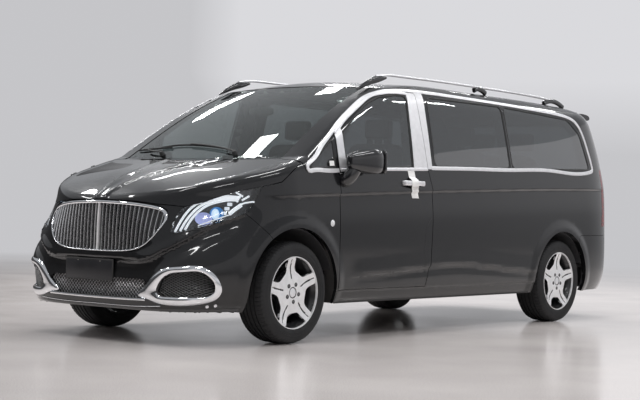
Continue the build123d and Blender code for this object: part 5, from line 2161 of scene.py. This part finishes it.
@dataclass
class Tail:
    """Tail lamps, rear glass, wiper, plate, handle, spoiler and reflectors."""

    plate_half_width: float = 262.0
    plate_low: float = 835.0
    plate_high: float = 950.0
    guides: Sequence[float] = (806, 836, 864)
    spoiler_half: float = 640.0
    spoiler_spine: Pair = (4336.0, 1799.0)
    brake_lamp: tuple[Place, Place] = ((-150, 4444, 1776), (150, 4453, 1790))
    bar: Route = ((-330.0, 1010.0), (0.0, 1014.0), (330.0, 1010.0))
    wiper_spindle: Pair = (0.0, 1190.0)
    wiper_arm: Route = ((0.0, 1190.0), (90.0, 1215.0), (330.0, 1262.0))
    wiper_blade: Route = ((90.0, 1232.0), (480.0, 1305.0))
    glass_seal: Route = ((-655, 1210), (655, 1210), (625, 1690), (-625, 1690))
    ribs: Sequence[float] = (596, 608, 620)
    reflector: Route = ((560, 470), (760, 470), (760, 505), (560, 505))

    def build(self) -> None:
        """Build the tail's pieces."""
        cuts = Cuts(TAIL_ACROSS, TAIL_ALONG, run(780, 1290, 22))
        for side, name in SIDES.items():
            node = f"taillamp_{name}"
            Panel(
                node, "chassis", (RED_GLASS,), cuts, inside=Level.PANEL_INSIDE, tolerance=5.0, inside_at=-3.5
            ).build()
            Panel(node, "chassis", (LAMP_BLACK,), cuts, tolerance=5.0, outside_at=-29.0, tray=True).build()
            routes = [[(side * x, 830.0), (side * x, 1040.0), (side * (x - 14), 1255.0)] for x in self.guides]
            guides = strips(routes, rounded_section(9, 9, 10), FORM.on_back, -16.0, 20.0)
            # The guides carry a painted red glow.
            fit(guides, f"tail_guides_{name}", RED_GUIDE_PAINTED_GLOW)
        Panel("rear_glass", "tailgate", (REAR_TINT,), Cuts(run(-650, 651, 50), (), run(1220, 1700, 40)),
              Level.GLASS_OUTSIDE, Level.GLASS_INSIDE).build()
        self.spoiler()
        self.tailgate_details()
        self.bumper_details()

    def spoiler(self) -> None:
        """Build the rounded spoiler with its high brake lamp."""
        spine, height = self.spoiler_spine

        def shape(turn: Array, share: Array) -> Array:
            x = (share * 2 - 1) * self.spoiler_half
            crown = 52 * (x / FORM.crown_x) ** 2
            angle = turn * tau
            reach = 1 - 0.12 * np.abs(share * 2 - 1) ** 6
            d = spine + 118 * np.sign(np.cos(angle)) * np.abs(np.cos(angle)) ** 0.8 * reach - crown * 0.6
            z = height + 27 * np.sign(np.sin(angle)) * np.abs(np.sin(angle)) ** 0.8 - crown
            z = z - 0.06 * (d - spine)
            return placed(np.column_stack([x, d, z]))

        bm = closed_up(patch(40, 48, shape), 40)
        piece = fit(bm, "spoiler_wing", BLACK_PAINT, 50.0, body="tailgate")
        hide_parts("rear_spoiler")
        lamp = box_mesh(*self.brake_lamp, 3)
        # The high brake lamp carries a painted red glow.
        fit(lamp, "high_brake_lamp", RED_GUIDE_PAINTED_GLOW, 40.0, body="tailgate")

    def tailgate_details(self) -> None:
        """Build the plate recess with its blank plate, the handle bar and the wiper."""
        low, high, half = self.plate_low, self.plate_high, self.plate_half_width
        outline = softened(
            [(-half - 25, low - 25), (half + 25, low - 25), (half + 25, high + 40), (-half - 25, high + 40)],
            40,
        )
        rim = band(outline, inset(outline, 14), [(0, -1), (0.3, 4), (0.7, 3), (1, -1)], FORM.on_back)
        fit(rim, "plate_recess_rim", GLOSS_BLACK, 60.0, body="tailgate")
        back = FORM.on_back([(0.0, (low + high) / 2)])[0][1]
        plate = box_mesh((-half + 2, back - 2, low), (half - 2, back + 5, high), 1.5)
        fit(plate, "rear_blank_plate", PLATE_GREY, 40.0, body="tailgate")
        bar = strips([self.bar], rounded_section(26, 16, 14), FORM.on_back, 4)
        fit(bar, "tailgate_bar", BRIGHT_TRIM, 50.0, body="tailgate")
        arm = strips([self.wiper_arm], rounded_section(13, 10, 10), FORM.on_back, 12)
        join_into(arm, strips([self.wiper_blade], rounded_section(8, 14, 8), FORM.on_back, 4.5))
        spot = FORM.on_back([self.wiper_spindle])[0]
        join_into(arm, stud(spot, [(0.01, 22), (16, 20), (22, 8), (24, -3)], 28))
        fit(arm, "rear_wiper", DARK_PLASTIC, 40.0, body="tailgate")
        seal = softened(self.glass_seal, 60)
        seal = band(inset(seal, -7), inset(seal, 8), SEAL_PROFILE, FORM.on_back)
        fit(seal, "rear_glass_seal", SEAL_RUBBER, 60.0, body="tailgate")

    def bumper_details(self) -> None:
        """Build the rear bumper's step pad and reflectors."""
        pad = [[(-560.0, height), (0.0, height), (560.0, height)] for height in self.ribs]
        bm = strips(pad, rounded_section(6, 5, 8), FORM.on_back, 1.0, 40.0)
        fit(bm, "bumper_step_ribs", DARK_PLASTIC, 50.0)
        for side, name in SIDES.items():
            outline = softened([(side * x, height) for x, height in self.reflector], 14)
            middle = np.tile(outline.mean(axis=0), (len(outline), 1))
            lens = band(outline, middle, [(0, -1), (0.04, 2.5), (0.4, 3.4), (0.98, 3.4)], FORM.on_back)
            # The reflector lens carries a painted red glow, standing in for the light it reflects.
            fit(lens, f"rear_reflector_{name}", RED_GUIDE_PAINTED_GLOW, 50.0)


# ---------------------------------------------------------------- the underside


PLAIN_NODES = {
    "cowl": DARK_PLASTIC, "dashboard": DOOR_TRIM, "floor_pan": CARPET, "bulkhead": UNDERSEAL,
    "frame_rails": UNDERSEAL,
    "wheel_liners": UNDERSEAL, "engine_block": CAST_METAL, "radiator": DARK_PLASTIC, "exhaust": PIPE_STEEL,
    "fuel_tank": DARK_PLASTIC, "front_axle": CAST_METAL, "rear_axle": CAST_METAL, "knuckle_left": CAST_METAL,
    "knuckle_right": CAST_METAL,
}


def dress_nodes() -> None:
    """Give the plain structure its finishes, and soften its edges."""
    for node, finish in PLAIN_NODES.items():
        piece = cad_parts[node]
        piece.data.materials.clear()
        piece.data.materials.append(finish.material())
        if node in ("engine_block", "radiator", "fuel_tank", "cowl"):
            weld = piece.modifiers.new("weld", "WELD")
            weld.merge_threshold = 0.00002
            bevel = piece.modifiers.new("soft_edges", "BEVEL")
            bevel.width = 0.006
            bevel.segments = 3
            bevel.limit_method = "ANGLE"
            bevel.harden_normals = True


@dataclass
class Springs:
    """Coil springs and shaft boots, with the bolts and clamps under the floor."""

    wire: float = 7.0
    rail_x: float = 400.0
    rail_bolts: tuple[float, float, float] = (500.0, 3900.0, 340.0)
    pipe_x: float = -540.0
    pipe_height: float = 350.0
    clamps: Sequence[float] = (700, 1420, 2290, 2500)

    def coil(self, foot: Sequence[float], top: Sequence[float], radius: float, turns: int) -> Mesh:
        """Wind one spring between two drawing places."""
        foot, top = np.array(foot, float), np.array(top, float)
        share = np.linspace(0, 1, turns * 16 + 1)
        path = foot + (top - foot) * share[:, None]
        path[:, 0] += radius * np.cos(share * turns * tau)
        path[:, 1] += radius * np.sin(share * turns * tau)
        line = placed(path)
        return sweep(line, upright(len(line)), rounded_section(2 * self.wire, 2 * self.wire, 8, 2))

    def build(self) -> None:
        """Build the springs and the shaft boots."""
        springs, boots = bmesh.new(), bmesh.new()
        for side in SIDES:
            join_into(springs, self.coil((side * 612, 0, 400), (side * 601, 0, 660), 62, 6))
            x, distance = side * 560, REAR_AXLE - 90
            join_into(springs, self.coil((x, distance, 372), (x, distance, 520), 58, 4))
            ribs = [(38, 0)]
            for i in range(6):
                ribs += [(52 - 2 * i, 6 + 12 * i), (40 - i, 12 + 12 * i)]
            middle = Vector(placed([side * 640.0, REAR_AXLE, AXLE_HEIGHT]))
            join_into(boots, turned(ribs, middle, Vector((-side, 0, 0)), 32))
        fit(springs, "coil_springs", CAST_METAL, 50.0)
        fit(boots, "axle_boots", SEAL_RUBBER, 50.0)
        self.bolts()

    def bolts(self) -> None:
        """Build the bolt heads under the frame rails and the exhaust's clamps."""
        heads = bmesh.new()
        low = drawn([list(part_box("frame_rails")[0])])[0][2]
        for side in SIDES:
            for distance in np.arange(*self.rail_bolts):
                spot = Vector(placed([side * self.rail_x, distance, low]))
                head = [(0.01, 7), (9, 7), (10, 5.5), (10, -1)]
                join_into(heads, turned(head, spot, Vector((0, 0, -1)), 6))
        fit(heads, "frame_bolts", PIPE_STEEL, 30.0)
        clamps = bmesh.new()
        for distance in self.clamps:
            spot = Vector(placed([self.pipe_x, distance, self.pipe_height]))
            ring = [(26, -9), (40, -9), (41, -7), (41, 7), (40, 9), (26, 9), (26, -9)]
            join_into(clamps, turned(ring, spot, Vector((0, 1, 0)), 32))
        fit(clamps, "exhaust_clamps", CAST_METAL, 30.0)


def underside() -> None:
    """Finish the structure under the body."""
    dress_nodes()
    Springs().build()
    for side, name in SIDES.items():
        sill = strips([[(460.0, 258.0), (1500.0, 258.0), (2980.0, 258.0)]], rounded_section(18, 10, 10),
                      side_caster(side), -3.0, 60.0)
        fit(sill, f"sill_strip_{name}", DARK_PLASTIC, 50.0)


# ---------------------------------------------------------------- stage


@dataclass
class Stage:
    """A pale floor that runs up into a coved wall far round it, the lamps and the camera."""

    wall_radius_m: float = 30.0
    cove_m: float = 3.0
    wall_height_m: float = 9.0
    backdrop: Colour = (0.56, 0.56, 0.58)
    ceiling: Colour = (0.42, 0.43, 0.45)
    daylight: Colour = (0.74, 0.75, 0.77)
    dim_side: Place = (-0.74, -0.67, 0.0)
    lamp_x_m: Sequence[float] = (-5.2, -2.5, 0.6, 3.8)
    lamp_y_m: Sequence[float] = (-4.2, -0.9, 2.6, 6.0)
    lamp_shift_m: float = 0.5
    lamp_size_m: Pair = (0.34, 1.5)
    lamp_height_m: float = 4.6
    lamp_power: float = 36.0
    lens: float = 84.57
    sensor: float = 36.0
    camera_place_m: Place = (7.293, -9.353, 0.909)
    camera_turn: Place = (90.249, -1.424, 39.122)

    def build(self) -> None:
        """Build the room and set the lights and the camera."""
        self.room()
        self.world()
        for i, x in enumerate(self.lamp_x_m):
            for j, y in enumerate(self.lamp_y_m):
                place = (x + self.lamp_shift_m * (j % 2), y, self.lamp_height_m)
                self.lamp(f"ceiling_lamp_{i}_{j}", place)
        self.camera()
        bpy.context.scene.view_settings.view_transform = "Standard"

    @staticmethod
    def seen_directly(graph: Graph) -> tuple[Socket, Socket]:
        """Return a strength that is 1 for rays seen directly or through glass, and one for mirrored rays."""
        path = graph.tree.nodes.new("ShaderNodeLightPath").outputs
        direct = graph.math("MAXIMUM", path["Is Camera Ray"], path["Is Transmission Ray"])
        return direct, path["Is Glossy Ray"]

    def room(self) -> None:
        """Build the floor and the wall as one turned sheet."""
        radius, cove = self.wall_radius_m, self.cove_m
        profile = [(0.001, 0.0), (3.0, 0.0), (6.0, 0.0), (12.0, 0.0), (radius - cove, 0.0)]
        profile += [
            (radius - cove * (1 - sin(a)), cove * (1 - cos(a))) for a in np.linspace(0.15, pi / 2, 10)
        ]
        profile += [(radius, self.wall_height_m)]
        bm = turned([(r / MM, z / MM) for r, z in profile], Vector((0, 0, 0)), Vector((0, 0, 1)), 96)
        outward = [
            face for face in bm.faces
            if face.normal.z < -1e-3 or face.normal.dot(face.calc_center_median().to_2d().to_3d()) > 0
        ]
        bmesh.ops.reverse_faces(bm, faces=outward)
        mesh = bpy.data.meshes.new("studio_room")
        bm.to_mesh(mesh)
        bm.free()
        mesh.shade_smooth()
        room = bpy.data.objects.new("studio_room", mesh)
        bpy.context.scene.collection.objects.link(room)
        mesh.materials.append(self.room_material())

    def room_material(self) -> bpy.types.Material:
        """Return speckled, polished stone that turns into an even backdrop, mirrored dimly on one side."""
        graph = Graph("studio_floor")
        speckle = graph.ramp(
            graph.noise(130.0, 4.0), [(0.35, (0.62, 0.575, 0.56)), (0.65, (0.82, 0.765, 0.74))]
        )
        graph.link(speckle, "Base Color")
        graph.link(graph.spread(graph.noise(0.8, 3.0), 0.12, 0.22), "Roughness")
        direct, mirrored_ray = self.seen_directly(graph)
        lengths = [graph.tree.nodes.new("ShaderNodeVectorMath") for _ in range(2)]
        for node, work in zip(lengths, ("LENGTH", "DOT_PRODUCT")):
            node.operation = work
            graph.tree.links.new(graph.place, node.inputs[0])
        lengths[1].inputs[1].default_value = self.dim_side
        far = graph.share(lengths[0].outputs["Value"], 6.0, 15.0)
        low = graph.height_ramp(0.2, 4.5)
        dim = graph.math(
            "MULTIPLY", graph.share(lengths[1].outputs["Value"], 1.0, 7.0, 1.0, 0.12),
            graph.share(low, 0.0, 1.0, 1.25, 0.72),
        )
        glow = graph.tree.nodes.new("ShaderNodeEmission")
        glow.inputs["Color"].default_value = (*self.backdrop, 1.0)
        graph.tree.links.new(graph.math("MAXIMUM", direct, dim), glow.inputs["Strength"])
        mix = graph.tree.nodes.new("ShaderNodeMixShader")
        shown = graph.math("MAXIMUM", direct, mirrored_ray)
        graph.tree.links.new(graph.math("MULTIPLY", far, shown), mix.inputs[0])
        graph.tree.links.new(graph.shader.outputs[0], mix.inputs[1])
        graph.tree.links.new(glow.outputs[0], mix.inputs[2])
        graph.tree.links.new(mix.outputs[0], graph.tree.nodes["Material Output"].inputs["Surface"])
        return graph.material

    def world(self) -> None:
        """Light the room from a plain ceiling that shows as the backdrop where it is seen directly."""
        world = bpy.data.worlds.new("studio_light")
        bpy.context.scene.world = world
        world.use_nodes = True
        tree = world.node_tree
        path = tree.nodes.new("ShaderNodeLightPath").outputs
        light = tree.nodes["Background"].outputs[0]
        tree.nodes["Background"].inputs["Color"].default_value = (*self.daylight, 1.0)
        for ray, colour in (("Is Glossy Ray", self.ceiling), ("Is Camera Ray", self.backdrop)):
            seen, mix = tree.nodes.new("ShaderNodeBackground"), tree.nodes.new("ShaderNodeMixShader")
            seen.inputs["Color"].default_value = (*colour, 1.0)
            for start, socket in zip((path[ray], light, seen.outputs[0]), mix.inputs):
                tree.links.new(start, socket)
            light = mix.outputs[0]
        tree.links.new(light, tree.nodes["World Output"].inputs["Surface"])

    def lamp(self, name: str, place: Place) -> None:
        """Hang one ceiling lamp that shines straight down."""
        data = bpy.data.lights.new(name, "AREA")
        data.shape = "RECTANGLE"
        data.size, data.size_y = self.lamp_size_m
        data.energy = self.lamp_power
        lamp = bpy.data.objects.new(name, data)
        lamp.location = place
        bpy.context.scene.collection.objects.link(lamp)

    def camera(self) -> None:
        """Set the camera."""
        data = bpy.data.cameras.new("camera")
        data.lens = self.lens
        data.sensor_width = self.sensor
        data.clip_end = 200.0
        camera = bpy.data.objects.new("camera", data)
        camera.location = self.camera_place_m
        camera.rotation_euler = [radians(angle) for angle in self.camera_turn]
        bpy.context.scene.collection.objects.link(camera)
        bpy.context.scene.camera = camera


def body_panels() -> None:
    """Build every panel of the body."""
    paint_and_trim = (BLACK_PAINT, DOOR_TRIM)
    paint_and_sealer = (BLACK_PAINT, UNDERSEAL)
    side = Cuts((), SIDE_ALONG, SIDE_UP)
    for name in SIDES.values():
        Panel(f"body_side_{name}", "chassis", paint_and_trim, side).build()
        cuts = Cuts((), NOSE_ALONG, SIDE_UP)
        Panel(f"fender_{name}", "chassis", paint_and_sealer, cuts, tolerance=6.0).build()
        Panel(f"front_door_{name}", f"front_door_{name}", paint_and_trim, side).build()
    Panel("sliding_door", "chassis", paint_and_trim, side).build()
    cuts = Cuts(NOSE_ACROSS, run(-860, 100, 26), run(900, 1200, 26))
    Panel("bonnet", "bonnet", paint_and_sealer, cuts).build()
    nose = Cuts(NOSE_ACROSS, NOSE_ALONG, run(240, 900, 16))
    Panel("front_bumper", "chassis", paint_and_sealer, nose, tolerance=12.0).build()
    tail = Cuts(TAIL_ACROSS, TAIL_ALONG, run(262, 720, 26))
    Panel("rear_bumper", "chassis", paint_and_sealer, tail, tolerance=6.0).build()
    roof = Cuts(run(-690, 691, 60), run(1080, 4300, 120))
    Panel("roof_panel", "chassis", (BLACK_PAINT, HEADLINING), roof).build()
    tail = Cuts(TAIL_ACROSS, run(4200, 4470, 14), run(650, 1850, 40))
    Panel("tailgate", "tailgate", paint_and_trim, tail).build()


def nose() -> None:
    """Build the grille, lamps, intakes and plate."""
    Grille().build()
    LowerIntake().build()
    for side in SIDES:
        CornerIntake().build(side)
        Headlamp().build(side)
        NoseDetails().build(side)


def main() -> None:
    """Build the stage, then the vehicle from the outside in."""
    logging.basicConfig(level=logging.INFO, format="%(message)s")
    Stage().build()
    body_panels()
    nose()
    flanks()
    wheels()
    cabin()
    Tail().build()
    underside()


if __name__ == "__main__":
    main()
